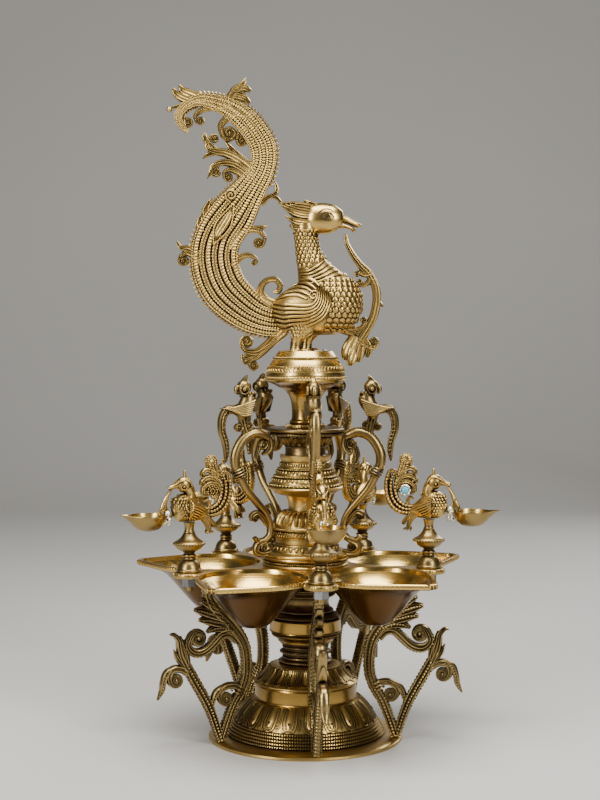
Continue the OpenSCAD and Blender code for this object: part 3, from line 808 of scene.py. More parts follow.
def spiral(cast, x, z, radius, start, hand, thick):
    """A scroll's curled end: a ribbon that winds in to a round boss."""
    steps, turns, width = 20, 1.35, 0.24
    points = []
    for k in range(steps + 1):
        s = k / steps
        angle = math.radians(start + hand * 360 * turns * s)
        r = radius * (1 - width) * (1 - 0.72 * s)
        points.append((x + r * math.cos(angle), 0, z + r * math.sin(angle),
                       radius * width * (1 - 0.35 * s), thick * (1 - 0.12 * s)))
    cast.add(swept(points, ridged(1, 0.35, 6)))
    cast.add(bead(1, (radius * 0.34, thick * 1.08, radius * 0.34), 10, 8), [shift(x, 0, z)])
    cast.add(button(radius * 0.86, thick * 0.66), [shift(x, 0, z)])


def curled(cast, points, radius, hand, thick, loop=GROOVED, turns=1.3, size=0.62):
    """A stem that winds in at its end to a spiral with a boss; hand is 1 when it winds to the left."""
    path = stations(points, thick)
    x, y, z, w, t = path[-1]
    run = Vector((x - path[-2][0], 0, z - path[-2][2])).normalized()
    inward = Vector((-run.z, 0, run.x)) * hand
    centre = Vector((x, y, z)) + inward * radius
    start = math.atan2(-inward.z, -inward.x)
    steps = round(15 * turns)
    for k in range(1, steps + 1):
        s = k / steps
        angle, r = start + hand * math.tau * turns * s, radius * (1 - 0.74 * s)
        path.append((centre.x + r * math.cos(angle), y, centre.z + r * math.sin(angle),
                     min(w, radius * 0.3) * (1 - 0.4 * s), t))
    cast.add(swept(path, loop))
    cast.add(bead(1, (radius * 0.36, t * 1.15, radius * 0.36), 10, 8), [shift(*centre)])
    cast.add(button(radius, t * 0.62), [shift(*centre)])
    if size:
        cast.add(bead(size, sides=6, rows=4), along(path, size * 3.4, 0, 0.92, full=2.6))
    return path


def comb(cast, path, across, pitch, length, thick, lean):
    """A fringe of short barbs along one edge of a plume."""
    barb = bead(1, (length, thick, 1.5), 6, 4)
    cast.add(barb, along(path, pitch, across, 0, (1,), lean))


def leaf(cast, points, thick, y=0.0):
    """A leaf or feather with ribs, pointed at its tip."""
    cast.add(swept(stations(points, thick, 4, y), RIBBED))


def wrapped(shape, line, height):
    """Bends a flat motif, drawn upright with Y as its relief, on to a turned surface that line gives."""
    for v in shape.verts:
        t = v.co.z / height
        (r, z), (r1, z1), (r2, z2) = line(t), line(t - 0.02), line(t + 0.02)
        normal = Vector((z2 - z1, r1 - r2)).normalized()
        r_out, angle = r + normal.x * v.co.y, v.co.x / r
        v.co = (r_out * math.cos(angle), r_out * math.sin(angle), z + normal.y * v.co.y)
    bmesh.ops.recalc_face_normals(shape, faces=shape.faces)
    return shape


def motif(parts):
    """Several shapes joined as one, to be copied together."""
    cast = Casting()
    for shape in parts:
        cast.add(shape)
    return cast.bm


def lotus_petal(line, height, wide, gap):
    """A round-ended petal: two raised outlines, a domed middle, and three ribs in the gap beside it."""
    parts = []
    for k, w, t in ((1.0, 0.75, 1.5), (0.62, 0.6, 1.3)):
        low = (1 - k) * 8 + 0.8
        u_shape = [(-wide * k * 0.74, height, w), (-wide * k, height * 0.45, w),
                   (-wide * k * 0.84, low + 3 * k, w), (-wide * k * 0.45, low + 0.6 * k, w), (0, low, w),
                   (wide * k * 0.45, low + 0.6 * k, w), (wide * k * 0.84, low + 3 * k, w),
                   (wide * k, height * 0.45, w), (wide * k * 0.74, height, w)]
        parts.append(swept([(x, 0, z, w, t) for x, z, w in smooth_path(u_shape, 4)], ROUND[::2]))
    middle = [(0, 5.4, 1.6), (0, 9, wide * 0.44), (0, height * 0.5, wide * 0.5),
              (0, height * 0.8, wide * 0.36), (0, height, wide * 0.3)]
    parts.append(swept([(x, 0, z, w, 0.75) for x, z, w in smooth_path(middle, 3)], ROUND[::2]))
    for u in (-1, 0, 1):
        x = wide + gap / 2 + u * gap * 0.27
        parts.append(swept([(x, 0, z, 0.5, 1.2 - 0.3 * abs(u))
                            for z in (2.6 + 2 * abs(u), height * 0.5, height)], ROUND[::2]))
    return wrapped(motif(parts), line, height)


# ---------- bowls, tray and posts ----------

BOWL_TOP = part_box("bowl_1")[1][2] / MM
BOWL_RING = 112.5
BOWL_R = 62.4


def rim_reach(angle, radius, tip, half):
    """How far a round rim reaches at an angle, when it is drawn out to a squared spout."""
    touch = math.acos(radius / math.hypot(tip, half)) + math.atan2(half, tip)
    angle = abs((angle + math.pi) % math.tau - math.pi)
    if angle >= touch:
        return radius
    if angle <= math.atan2(half, tip):
        return tip / math.cos(angle)
    return radius / math.cos(touch - angle)


def draw_out(shape, radius, tip, half, low, high):
    """Draws a turned bowl's rim out to its spout, fading between two heights."""
    for v in shape.verts:
        k = min(1, max(0, (v.co.z - low) / (high - low))) ** 2
        pull = rim_reach(math.atan2(v.co.y, v.co.x), radius, tip, half) / radius
        v.co.x *= 1 + (pull - 1) * k
        v.co.y *= 1 + (pull - 1) * k
    return shape


def make_bowls():
    """Five bowls with drawn spouts, and a chiselled edge all round each flange."""
    wall = [(0, -53), (12, -52.8), (15.4, -51), (19.6, -47), (25, -41), (31.5, -33.6), (37.5, -26.4),
            (43.5, -19.4), (49, -13.6), (54.4, -8.6), (58, -6), (61.6, -5.8), (62.3, -5), (62.5, -3),
            (62.3, -0.7), (61.6, 0), (59.4, 0), (58.6, -0.4), (58.2, -1.4), (57.4, -4.6), (52.6, -8),
            (46.6, -13), (41, -18.4), (35, -25), (29, -32), (23, -39.4), (17.6, -45.4), (13, -49),
            (0, -49.8)]
    edge = Casting()
    places = []
    count = 104
    for k in range(count):
        angle = math.tau * k / count
        reach = rim_reach(angle, BOWL_R, 84.5, 6)
        places.append(turn(math.degrees(angle)) @ shift(reach - 0.2, 0, -2.8))
    edge.add(bead(1, (0.55, 1.25, 2.5), 6, 5), places)
    cast = Casting()
    bowl = turned(wall, closed=False, steps=168)
    cast.add(draw_out(bowl, BOWL_R, 84.5, 6, -15, -5.8))
    for i in LAMPS:
        place = turn(LAMP_TURN[i] + LAMP_PITCH / 2) @ shift(BOWL_RING, 0, BOWL_TOP)
        # The bowls' downward-facing faces take the dark brass: painted shade on the underside.
        cast.finish(f"bowl_body_{i}", POLISHED, "lamp", "polished_brass", [f"bowl_{i}"], place, keep=True,
                    under=UNDERSIDE_SHADE)
        edge.finish(f"bowl_edge_{i}", ANTIQUE, "lamp", "antique_brass", (), place, keep=True)


def make_tab_rims():
    """A ribbed collar round each tab of the tray, under its post."""
    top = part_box("tray_plate")[1][2] / MM
    cast = Casting()
    profile = [(12, top - 6.2), (15.4, top - 6.2)] + half_round(16.4, top - 5.8, top - 0.4, 1.2, 6)
    profile += [(15, top), (12, top)]
    for i in LAMPS:
        place = shift(*POSTS[i].xy, 0)
        cast.add(turned(profile, steps=48), [place])
        cast.add(bead(1, (1.0, 1.1, 2.9), 6, 5), [place @ p for p in ring_places(28, 17.3, top - 3.2)])
    cast.finish("tab_rims", ANTIQUE, "lamp", "antique_brass")


def make_posts():
    """Turned baluster posts for the bird lamps."""
    low = BOWL_TOP
    profile = [(0, low + 0.1), (13.4, low + 0.1)] + half_round(13, low + 0.2, low + 3.6, 1.0, 5)
    profile += arc((12.8, low + 4), (7.6, low + 13.4), 1.2, 7)
    profile += half_round(6.4, low + 13.8, low + 16, 0.8, 4)
    profile += half_round(6.6, low + 16.6, low + 19.6, 0.8, 4)
    profile += arc((5.6, low + 20), (8.4, low + 23), -0.5, 4)
    profile += arc((8.4, low + 23), (16, low + 29.6), 1.0, 6)[1:]
    profile += [(16.9, low + 30.6), (16.9, low + 32.2), (16, low + 33.2)]
    profile += arc((15.4, low + 33.8), (6.6, low + 42.4), -1.2, 7)
    profile += half_round(5.6, low + 42.8, low + 44.8, 0.7, 4)
    profile += arc((5.2, low + 45.4), (6.8, low + 54.4), -0.7, 5) + [(0, low + 54.6)]
    cast = Casting()
    cast.add(turned(profile, closed=False, steps=56))
    cast.add(bead(1.5, sides=8, rows=5), ring_places(32, 16.6, low + 31.2))
    cast.add(bead(0.7, sides=6, rows=4), ring_places(44, 13.9, low + 1.9))
    cast.add(turned([(0, low - 20.6), (3.9, low - 20.6), (3.9, low + 0.4), (0, low + 0.4)], closed=False,
                    steps=32))
    for i in LAMPS:
        cast.finish(f"post_turned_{i}", AGED, f"bird_lamp_{i}", "antique_brass", [f"lamp_post_{i}"],
                    shift(*POSTS[i].xy, 0), keep=True)


def make_dishes():
    """Thin leaf-shaped oil dishes, soldered to the birds' breasts."""
    wall = [(0, -16.6), (7, -16.4), (12.4, -14.4), (16.6, -10.8), (19.4, -6.4), (20.9, -2), (21.3, -0.2),
            (21.2, 0.5), (20.5, 0.6), (20.1, -0.2), (18.6, -5.4), (15.6, -9.8), (11.6, -13), (6.6, -14.9),
            (0, -15)]
    for i in LAMPS:
        place = turn(LAMP_TURN[i]) @ shift(POST_RING, 0, 0)
        cast = Casting()
        dish = draw_out(turned(wall, closed=False, steps=96), 21.2, 31.6, 0.6, -9, 0)
        for v in dish.verts:
            v.co.z += 1.6 * max(0, v.co.x - 18) / 13 if v.co.z > -6 else 0
        cast.add(dish, [shift(47.5, 0, 260.6)])
        # The dish's downward-facing faces take the darker aged_brass finish: painted shade on the
        # underside.
        cast.finish(f"dish_bowl_{i}", SATIN, f"bird_lamp_{i}", "antique_brass", [f"oil_dish_{i}"], place,
                    under=AGED)
        blob = Casting()
        rng = random.Random(SEED + i)
        for k in range(9):
            size = rng.uniform(3.0, 4.0) * (1 - k * 0.04)
            blob.add(bead(size, (1.1, 1.25, 1.2), 12, 8),
                     [shift(rng.uniform(22, 27), rng.uniform(-2.8, 2.8),
                            261.6 - k * 1.3 + rng.uniform(-0.6, 0.6))])
        blob.finish(f"dish_solder_{i}", SOLDER, f"bird_lamp_{i}", "antique_brass", (), place)


# ---------- floor brackets and scroll handles ----------


def make_brackets():
    """Openwork floor brackets: two limbs that meet on the foot, scrolls and leaf tips."""
    cast = Casting()
    trunk = [(104, 5, 4.6), (90, 41.6, 5.2), (78.5, 61.4, 5.6), (73, 81.9, 5.8), (76, 111, 6.2),
             (91, 134, 7.6), (108, 152, 8.2), (117, 168, 7), (118, 190, 6.4)]
    path = scroll(cast, trunk, 5.0, RIBBED, 1.15, 3.3, (-0.86, 0.86), 0.8)
    cast.add(bead(1, (1.3, 1.2, 1.6), 6, 4), along(path, 3.7, 0, 1.0))
    limb = scroll(cast, [(104, 5, 3.6), (117.5, 44, 5), (136, 78, 5.4), (144, 93, 5)], 5.0, RIBBED, 1.15,
                  3.3, (-0.86, 0.86), 0.8)
    cast.add(bead(1, (1.3, 1.2, 1.6), 6, 4), along(limb, 3.7, 0, 1.0))
    for stem in (path, limb):
        cast.add(bead(1, (1.7, 3.6, 1.2), 6, 4),
                 along(stem, 4.6, 1.0, 0, (1,)) + along(stem, 4.6, -1.0, 0, (1,)))
    for points in ([(140, 86, 4.6), (148, 102, 5.4), (151.6, 114, 4), (153, 122, 3.2), (158, 128, 2.6),
                    (163, 128.6, 1)], [(142, 88, 3), (144, 104, 3.6), (148, 116, 2.6), (151, 126, 1.4)],
                   [(146, 92, 3), (154, 102, 3.2), (158.6, 112, 0.6)]):
        leaf(cast, points, 4.8)
    curled(cast, [(142, 84, 4), (150, 89.6, 4.2), (160, 90, 4), (165, 82, 3.4), (163, 75, 2.8)], 7.6, -1,
           4.8)
    scroll(cast, [(158, 90.6, 3.4), (167, 87, 3.6), (171, 77, 3.4), (172.6, 68, 3), (177.6, 58, 1)], 4.6,
           GROOVED, 1.1, 3.2, (0.0,), 0.9)
    path = curled(cast,
                  [(84, 116, 5), (92, 124, 5), (102, 124.6, 5), (112, 115.6, 5), (123, 107.4, 5),
                   (135, 106.6, 4.8), (142.6, 115, 4), (139, 126, 3.6)], 9.4, 1, 5.0, RIBBED, 1.1)
    cast.add(bead(1.15, sides=6, rows=4),
             along(path[:34], 3.3, -0.86, 0.8) + along(path[:34], 3.3, 0.86, 0.8))
    curled(cast, [(79, 60, 3.4), (87, 65.6, 3.8), (98, 65.6, 3.8), (106, 58, 3.2), (104, 49.6, 2.6)], 7.4,
           -1, 4.8)
    scroll(cast, [(99, 65.4, 3.4), (109, 60, 3.6), (114.6, 47, 3)], 4.6, GROOVED, 1.1, 3.2, (0.0,), 0.9)
    for lift in (-3.6, 0, 3.6):
        collar = [(x, 0, z, 7.4, 5.8)
                  for x, z in ((83.2 - lift * 0.5, 60 + lift), (82.2 - lift * 0.5, 61.7 + lift))]
        cast.add(swept(collar))
    for points in ([(98, 148, 6), (110, 155, 6.6), (120, 160.6, 5.8), (127, 164, 2.4)],
                   [(98, 142, 6), (112, 147.4, 6.6), (124, 151.6, 5.8), (134, 154, 2.2)],
                   [(94, 135, 6), (108, 138.6, 6.4), (119, 141.6, 5.6), (129, 142, 2.0)],
                   [(88, 127, 4.8), (100, 131.6, 5), (112, 131.6, 4.4), (120, 128, 1.6)]):
        path = stations(points, 4.9, 5)
        cast.add(swept(path, RIBBED))
        cast.add(bead(1, (1.2, 1.1, 1.3), 6, 4), along(path, 3.3, 0, 0.95, full=4))
    for i in LAMPS:
        # The brackets take the darker brass as painted shade from the tray above them.
        cast.finish(f"bracket_{i}", SHADED_BRACKET_BRASS, "lamp", "antique_brass", [f"floor_bracket_{i}"],
                    turn(LAMP_TURN[i]), keep=True)


def make_handles():
    """Scroll handles: a thick round bow, a ringed collar, a slimmer bow and curled feet."""
    cast = Casting()
    upper = stations([(46, 341, 5), (59, 346.6, 5.4), (74, 341.6, 5.7), (84, 327, 5.7), (85.6, 314, 5.5),
                      (82, 303, 5)], 5.4)
    cast.add(swept(upper))
    cast.add(bead(1.0, sides=6, rows=4), along(upper, 2.3, -1.0, 0, (1,)))
    cast.add(swept([(x, y, z, w * 0.2, t * 1.06) for x, y, z, w, t in upper]))
    lower = stations([(80, 299, 4.6), (72, 284, 4.5), (60, 269.6, 4.3), (49, 256, 4.1), (43.6, 243, 4),
                      (44, 232, 3.8), (50, 226, 3.8), (58, 225, 3.4), (63, 230, 2.4)], 4.4)
    cast.add(swept(lower))
    cast.add(bead(0.85, sides=6, rows=4), along(lower, 2.1, -1.0, 0, (1,)))
    cast.add(swept([(x, y, z, w * 0.2, t * 1.06) for x, y, z, w, t in lower]))
    for lift, wide in ((-4.4, 6.6), (-1.6, 7.6), (1.6, 7.6), (4.6, 6.8)):
        at = Vector((81.2, 0, 302.4)) + Vector((0.45, 0, 0.9)) * lift
        cast.add(swept([(at.x - 0.3, 0, at.z - 0.7, wide * 0.9, wide * 0.85),
                        (at.x, 0, at.z, wide, wide * 0.95),
                        (at.x + 0.3, 0, at.z + 0.7, wide * 0.9, wide * 0.85)]))
    scroll(cast, [(47, 243, 2.6), (52, 250, 3), (59, 257, 3.2), (66, 254.6, 2.8), (66, 249, 2.2)], 4.2,
           GROOVED)
    spiral(cast, 62, 251, 4.6, 20, -1, 4.4)
    scroll(cast, [(50, 226, 3.6), (59, 222, 4), (60.6, 214, 4), (52, 210.6, 3.6), (42.6, 212.6, 3)], 4.6,
           GROOVED, 0.6, 2.4, (0.9,), 0.5)
    spiral(cast, 52.4, 217.6, 5.4, 60, -1, 4.8)
    scroll(cast, [(57, 345, 4.4), (47, 340.6, 4), (44.6, 332, 3.8), (48, 325, 3), (53.4, 322.6, 1.4)],
           4.8, GROOVED, 0.6, 2.4, (-0.9,), 0.5)
    spiral(cast, 53, 333, 6.6, 110, 1, 5.0)
    leaf(cast, [(57, 330, 3), (60, 320, 2.6), (58, 311, 0.6)], 3.6)
    for i in LAMPS:
        cast.finish(f"handle_{i}", AGED, "lamp", "antique_brass", [f"scroll_handle_{i}"],
                    turn(LAMP_TURN[i]), keep=True)


def make_parrots():
    """A parrot on each handle, looking back over its breast, with a long hanging tail."""
    cast = Casting()
    body = [(77, 361, 4, 4), (77.4, 366, 6.4, 6), (75, 372, 9.6, 8), (71.4, 379, 10.4, 8.6),
            (69.6, 386, 9, 8), (71, 391, 7.6, 7.2)]
    cast.add(swept(upright(body, 4), oval(20), level=True))
    cast.add(bead(1, (8.4, 7.8, 8.2), 20, 14), [shift(75, 0, 397.6)])
    cast.add(swept([(x, 0, z, w, t)
                    for x, z, w, t in smooth_path([(80, 398.4, 3, 3.4), (83.6, 397, 2.8, 3),
                                                   (84.4, 393, 2.2, 2.6), (82, 389.4, 0.7, 1)], 4)]))
    leaf(cast, [(75.6, 403, 3.4), (73.6, 407, 2.4), (71, 411, 0.5)], 3)
    for lift in (0, 1.9):
        cast.add(swept([(62.6, 0, 389 + lift, 0.9, 6.8), (71, 0, 388 + lift, 1.1, 8.2),
                        (78.4, 0, 387.4 + lift, 0.9, 6.8)]))
    for side in (1, -1):
        cheek = [(x, side * (7.0 - abs(k - 8) % 8 * 0.02), z, 0.8, 1.2)
                 for k, (x, z) in enumerate(ring_line(77, 395.4, 5, 5, 16))]
        cast.add(swept(cheek, ROUND[::2]))
        cast.add(bead(1, (2.6, 1.9, 2.6), 12, 8), [shift(77, side * 6.8, 395.4)])
        for k in range(7):
            wing = [(64.6 + k * 0.9, 383 - k * 2.5, 1.5), (74, 379.4 - k * 2.1, 1.9),
                    (86 - k * 0.8, 375.8 - k * 1.5, 1.6), (102 - k * 3.4, 374.4 - k * 1.0, 0.5)]
            cast.add(swept([(x, side * (7.4 - 0.16 * abs(x - 74) * (x > 74)), z, w, 2.0)
                            for x, z, w in smooth_path(wing, 5)]))
        for k in range(4):
            for j in range(4):
                cast.add(bead(1, (1.9, 1.0, 1.5), 6, 4),
                         [lie(63.6 + j * 3.4 + k % 2 * 1.7, side * (5.0 + (1.5 - abs(j - 1.5)) * 1.9),
                              391 - k * 2.8, -80)])
    tail = stations([(84, 372, 5), (94, 373, 5), (100.4, 365, 4.6), (101.6, 351, 4.2), (97.6, 337, 3.8),
                     (96.4, 326, 3.0), (97.4, 315, 1)], 4.2)
    cast.add(swept(tail, RIBBED))
    cast.add(bead(1, (0.7, 1.2, 3.2), 6, 4), along(tail, 4.4, 0.3, 0.85, lean=25))
    for x, z, r, start in ((70, 354.6, 6.4, 20), (82, 353, 5.6, 160), (76.6, 361, 4.6, 90)):
        spiral(cast, x, z, r, start, 1, 4.8)
    scroll(cast, [(72, 346, 5), (75, 356, 5), (77, 366, 6)], 4.6, RIBBED)
    for i in LAMPS:
        cast.finish(f"parrot_bird_{i}", AGED, "lamp", "antique_brass", [f"parrot_{i}"],
                    turn(LAMP_TURN[i]), keep=True)


# ---------- the bird lamps ----------


BIRD = smooth_path([(-20, 258.6, 4.6, 4), (-11, 261, 9.6, 8), (-1, 264.6, 13.6, 12), (8, 267.4, 15.8, 13),
                    (14.6, 269, 13, 11), (19.4, 270, 6, 5)], 5)


def side_at(shape, x, z):
    """How far the side of a body, drawn as for upright, stands out from its middle plane."""
    middle, wide, thick = [between([(p[0], p[k]) for p in shape], x) for k in (1, 2, 3)]
    return thick * math.sqrt(max(0.05, 1 - ((z - middle) / wide) ** 2)) if wide else 2.0


def bird_side(x, z):
    """How far a lamp bird's side stands out."""
    return side_at(BIRD, x, z)


def head_side(x, z):
    """How far a lamp bird's head stands out, just clear of its surface."""
    return 7.4 * math.sqrt(max(0.12, 1 - ((x - 6) / 12.4) ** 2 - ((z - 292.6) / 9.4) ** 2)) + 0.1


def make_lamp_birds():
    """A small peacock on each post, with a fan tail, that bites the stem of its oil dish."""
    cast = Casting()
    cast.add(swept([(x, 0, z, w, t) for x, z, w, t in BIRD], oval(20)))
    neck = [(5, 270, 11, 9.6), (0, 277, 7.2, 6.8), (-0.8, 283, 6.4, 6.2), (2, 289, 7, 6.6)]
    cast.add(swept(upright(neck, 5), oval(16)))
    cast.add(bead(1, (9.0, 7.4, 8.8), 22, 16), [shift(6, 0, 292.6)])
    beak = [(11, 293.6, 5.4, 5.2), (15.6, 291.8, 3.4, 3.8), (19, 290.6, 2.6, 3.2),
            (22.6, 289.4, 2.4, 2.8), (24.6, 288.6, 1, 1.2)]
    cast.add(swept(upright(beak, 4)))
    for side in (1, -1):
        hood = smooth_path([(-2, 286, 0.8), (-0.6, 293, 0.9), (5, 298, 1.0), (12, 296.4, 0.9),
                            (18, 292.4, 0.7)], 4)
        cast.add(swept([(x, side * head_side(x, z), z, w, 1.0) for x, z, w in hood]))
    for lift in (0, 2.4, 4.8):
        cast.add(swept([(-6.6 + lift * 0.1, 0, 283 - lift, 0.8, 3.2),
                        (-1.4 + lift * 0.3, 0, 281.6 - lift, 0.9, 5.8 + lift * 0.3),
                        (4.4 + lift * 0.7, 0, 282 - lift, 0.8, 3.2)]))
    cast.add(swept(stations([(5, 299, 2.4), (5, 303.4, 1.5), (5, 306, 1.2)], 2, 4)))
    cast.add(bead(1.7, (1, 1, 1.15)), [shift(5, 0, 306)])
    cast.add(bead(1.9, sides=10, rows=6), [shift(-8.4, 0, 278.6)])
    for side in (1, -1):
        socket = [(x, side * 7.2, z, 0.7, 0.9) for x, z in ring_line(8.4, 290.4, 3.4, 3.0, 14)]
        cast.add(swept(socket, ROUND[::2]))
        cast.add(bead(1, (1.3, 1.2, 1.3), 10, 6), [shift(8.4, side * 7.2, 290.4)])
        for k in range(8):
            wing = smooth_path([(4.6 - k * 0.1, 274.6 - k * 1.9, 1.0),
                                (-5 + k * 1.0, 272 - k * 2.5, 1.35),
                                (-13 + k * 1.7, 268.6 - k * 2.2, 1.25),
                                (-19.6 + k * 2.4, 265 - k * 1.8, 0.5)], 4)
            cast.add(swept([(x, side * (bird_side(x, z) + 0.3), z, w, 1.5) for x, z, w in wing],
                           ROUND[::2]))
        shoulder = ring_line(4, 270, 4.4, 6.4, 14)
        cast.add(swept([(x, side * (bird_side(x, z) + 0.4), z, 0.9, 1.4) for x, z in shoulder],
                       ROUND[::2]))
        for k in range(9):
            for j in range(5):
                up, right = 283 - k * 3.1, 5.6 + j * 2.9 + k % 2 * 1.45
                if bird_side(right, up) > 3.2 and (up < 277 or right < 12):
                    cast.add(bead(1.7, sides=6, rows=5),
                             [shift(right, side * (bird_side(right, up) - 0.3), up)])
    tail = [[(-12, 258, 2.6), (-30, 258, 2.6), (-42, 266, 2.8), (-47.4, 280, 2.8), (-47.4, 294, 2.4),
             (-45, 304, 1.2)],
            [(-12, 262, 2.2), (-28, 262, 2.2), (-38, 269, 2.4), (-42.4, 281, 2.4), (-42, 294, 2),
             (-38, 303, 1.4)],
            [(-14, 265, 1.8), (-26, 265.6, 2), (-34.4, 272, 2.2), (-37.6, 283, 2.2), (-36.6, 293, 2),
             (-33, 300, 1.4)]]
    for k, plume in enumerate(tail):
        path = scroll(cast, plume, 3.4 - 0.3 * k, ridged(1, 0.4, 6))
        cast.add(bead(1.7, (1, 1, 1.15), 8, 5), along(path, 3.8, 0, 0.8, full=2.2))
    comb(cast, stations(tail[0], 3), 1.25, 3.2, 1.9, 2.4, -30)
    for points, radius, hand in (([(-46, 294, 2.6), (-44.6, 302, 2.6), (-40, 304.6, 2.2),
                                   (-36, 301, 1.8)], 2.6, -1),
                                 ([(-34, 300, 3.4), (-28, 305, 3.4), (-20, 307.6, 3), (-14.6, 304, 2.2)],
                                  3.2, -1),
                                 ([(-36, 292, 3), (-30, 297.4, 3.2), (-21, 299, 3), (-14, 294.6, 2.4)],
                                  3.4, -1),
                                 ([(-36, 284, 2.6), (-32, 291, 2.8), (-24, 292.6, 2.8), (-17, 288.6, 2.6),
                                   (-15.6, 282, 2.2)], 3.6, -1)):
        curled(cast, points, radius, hand, 3.4, GROOVED, 1.2, 0.6)
    scroll(cast, [(-30, 298, 6), (-29, 306, 5.4), (-27, 312, 5), (-26, 317, 5)], 3.2, RIBBED, 1.1, 3,
           (-0.6, 0.6), 0.95)
    cast.add(bead(1, (7.4, 3.4, 7.4), 16, 8), [shift(-25.8, 0, 316.4)])
    for ring, count in ((6.8, 16), (4.2, 10)):
        for k in range(count):
            angle = math.tau * k / count
            cast.add(bead(1.15, sides=8, rows=5),
                     [shift(-25.8 + ring * math.cos(angle), side * (1.2 if ring > 5 else 2.9),
                            316.4 + ring * math.sin(angle)) for side in (1, -1)])
    cast.add(bead(1, (2, 4, 2), 10, 6), [shift(-25.8, 0, 316.4)])
    cast.add(bead(1, (11.5, 2.0, 13), 16, 8), [shift(-28, 0, 291)])
    for radius, count in ((5.4, 13), (2.6, 7)):
        for face in (1, -1):
            cast.add(bead(1.1, sides=8, rows=5),
                     [shift(-26.5 + radius * math.cos(math.tau * k / count), face * 2.6,
                            284 + radius * math.sin(math.tau * k / count)) for k in range(count)])
    scroll(cast, [(-21, 262, 2), (-24, 270, 2), (-21, 275, 1.8), (-17, 273, 1.4)], 2.6, GROOVED)
    for side in (1, -1):
        for foot in ([(-12, 259, 3.6), (-19, 252, 3.4), (-22, 245, 2.6), (-22.6, 240.6, 2.4)],
                     [(-16, 257, 3), (-25, 251, 2.6), (-29, 245, 2)]):
            cast.add(swept(stations(foot, 2.6, 4, side * 2.8), RIBBED))
        for dx in (-3.4, 0, 3.4):
            cast.add(bead(1, (2.2, 1.6, 1.2), 8, 5), [lie(-23.6 + dx, side * 2.8, 239.4, 60 + dx * 8)])
    garland = scroll(cast,
                     [(20.4, 287.4, 1.1), (25, 281.4, 1.8), (28, 274, 2.3), (31.6, 268, 1.8),
                      (34.6, 265, 0.6)], 2.2, ridged(1, 0.3, 6))
    cast.add(bead(0.8, sides=6, rows=4), along(garland, 2.4, 0, 0.9))
    leaf(cast, [(28.4, 274, 2), (28, 267, 2.8), (24, 260.6, 2.8), (20, 259, 2)], 2.6)
    leaf(cast, [(29, 270, 2), (33, 263, 2.2), (30, 258, 1)], 2.2)
    for i in LAMPS:
        place = turn(LAMP_TURN[i]) @ shift(POST_RING, 0, 0)
        cast.finish(f"small_peacock_{i}", ANTIQUE, f"bird_lamp_{i}", "antique_brass", [f"lamp_bird_{i}"],
                    place, keep=True)
    setting = Casting()
    setting.add(turned([(4.4, -1.6), (6.2, -1.6), (6.2, 0.4), (5.4, 1.2), (4.6, 1.0)], steps=32))
    rng = random.Random(SEED)
    setting.add(bead(1.1, (1, 1, 0.7), 8, 5),
                [turn(a + rng.uniform(-9, 9)) @ shift(5.5, 0, 0.7) for a in range(0, 360, 45)])
    setting.finish("stone_setting", SOLDER, "bird_lamp_2", "antique_brass", (),
                   turn(LAMP_TURN[2]) @ shift(POST_RING - 26, -5, 283) @ turn(90, "X"))
    stone = Casting()
    stone.add(turned([(0, -2.2), (4.5, -2.2), (4.5, -0.4), (4.0, 0.5), (2.6, 1.2), (0, 1.5)],
                     closed=False, steps=28))
    stone.finish("stone_cabochon", STONE, "bird_lamp_2", "blue_stone", ["stone"],
                 turn(LAMP_TURN[2]) @ shift(POST_RING - 26, -5, 283) @ turn(90, "X"))


# ---------- the peacock on the cap ----------

BREAST = [(-54, 0.5), (-50, 14), (-36, 25), (-14, 31), (8, 34), (28, 32), (44, 22), (50, 0.5)]
SLOPE = math.radians(78)
FRONT = smooth_path([(0, 580, 12.6, 11.6), (0.6, 566, 13.2, 12), (2.4, 552, 13.8, 12.8),
                     (7, 539, 17, 15.6), (15, 527, 24, 19), (23.4, 514, 31.6, 23.6), (28, 500, 35, 28.6),
                     (28.4, 486, 35, 31), (26.4, 472, 32, 29), (23, 461, 24, 22), (21, 455.4, 14, 12)], 6)


def between(table, at):
    """A value read off a table of (position, value) pairs."""
    for (a, p), (b, q) in zip(table, table[1:]):
        if min(a, b) <= at <= max(a, b):
            return p + (q - p) * (at - a) / (b - a)
    return 0.0


def body_side(x, z):
    """How far the peacock's side stands out from its middle plane."""
    h = (x - 14) * math.sin(SLOPE) + (z - 487) * math.cos(SLOPE)
    d = (x - 14) * math.cos(SLOPE) - (z - 487) * math.sin(SLOPE)
    egg = math.sqrt(max(0, (between(BREAST, h) - 1) ** 2 - d * d)) * 0.86
    middle = between([(p[1], p[0]) for p in FRONT], z)
    wide = between([(p[1], p[2]) for p in FRONT], z)
    thick = between([(p[1], p[3]) for p in FRONT], z)
    front = thick * math.sqrt(max(0, 1 - ((x - middle) / wide) ** 2)) if wide else 0
    return max(egg, front)


NECK_RIDGES_TOP = [(-30, 527), (-8, 527.6), (4, 528.4), (16, 536), (24, 543), (44, 556)]
NECK_RIDGES_FOOT = [(-30, 511.6), (-3, 511.6), (13.6, 512.6), (29.6, 518.6), (40.8, 521), (66, 525)]


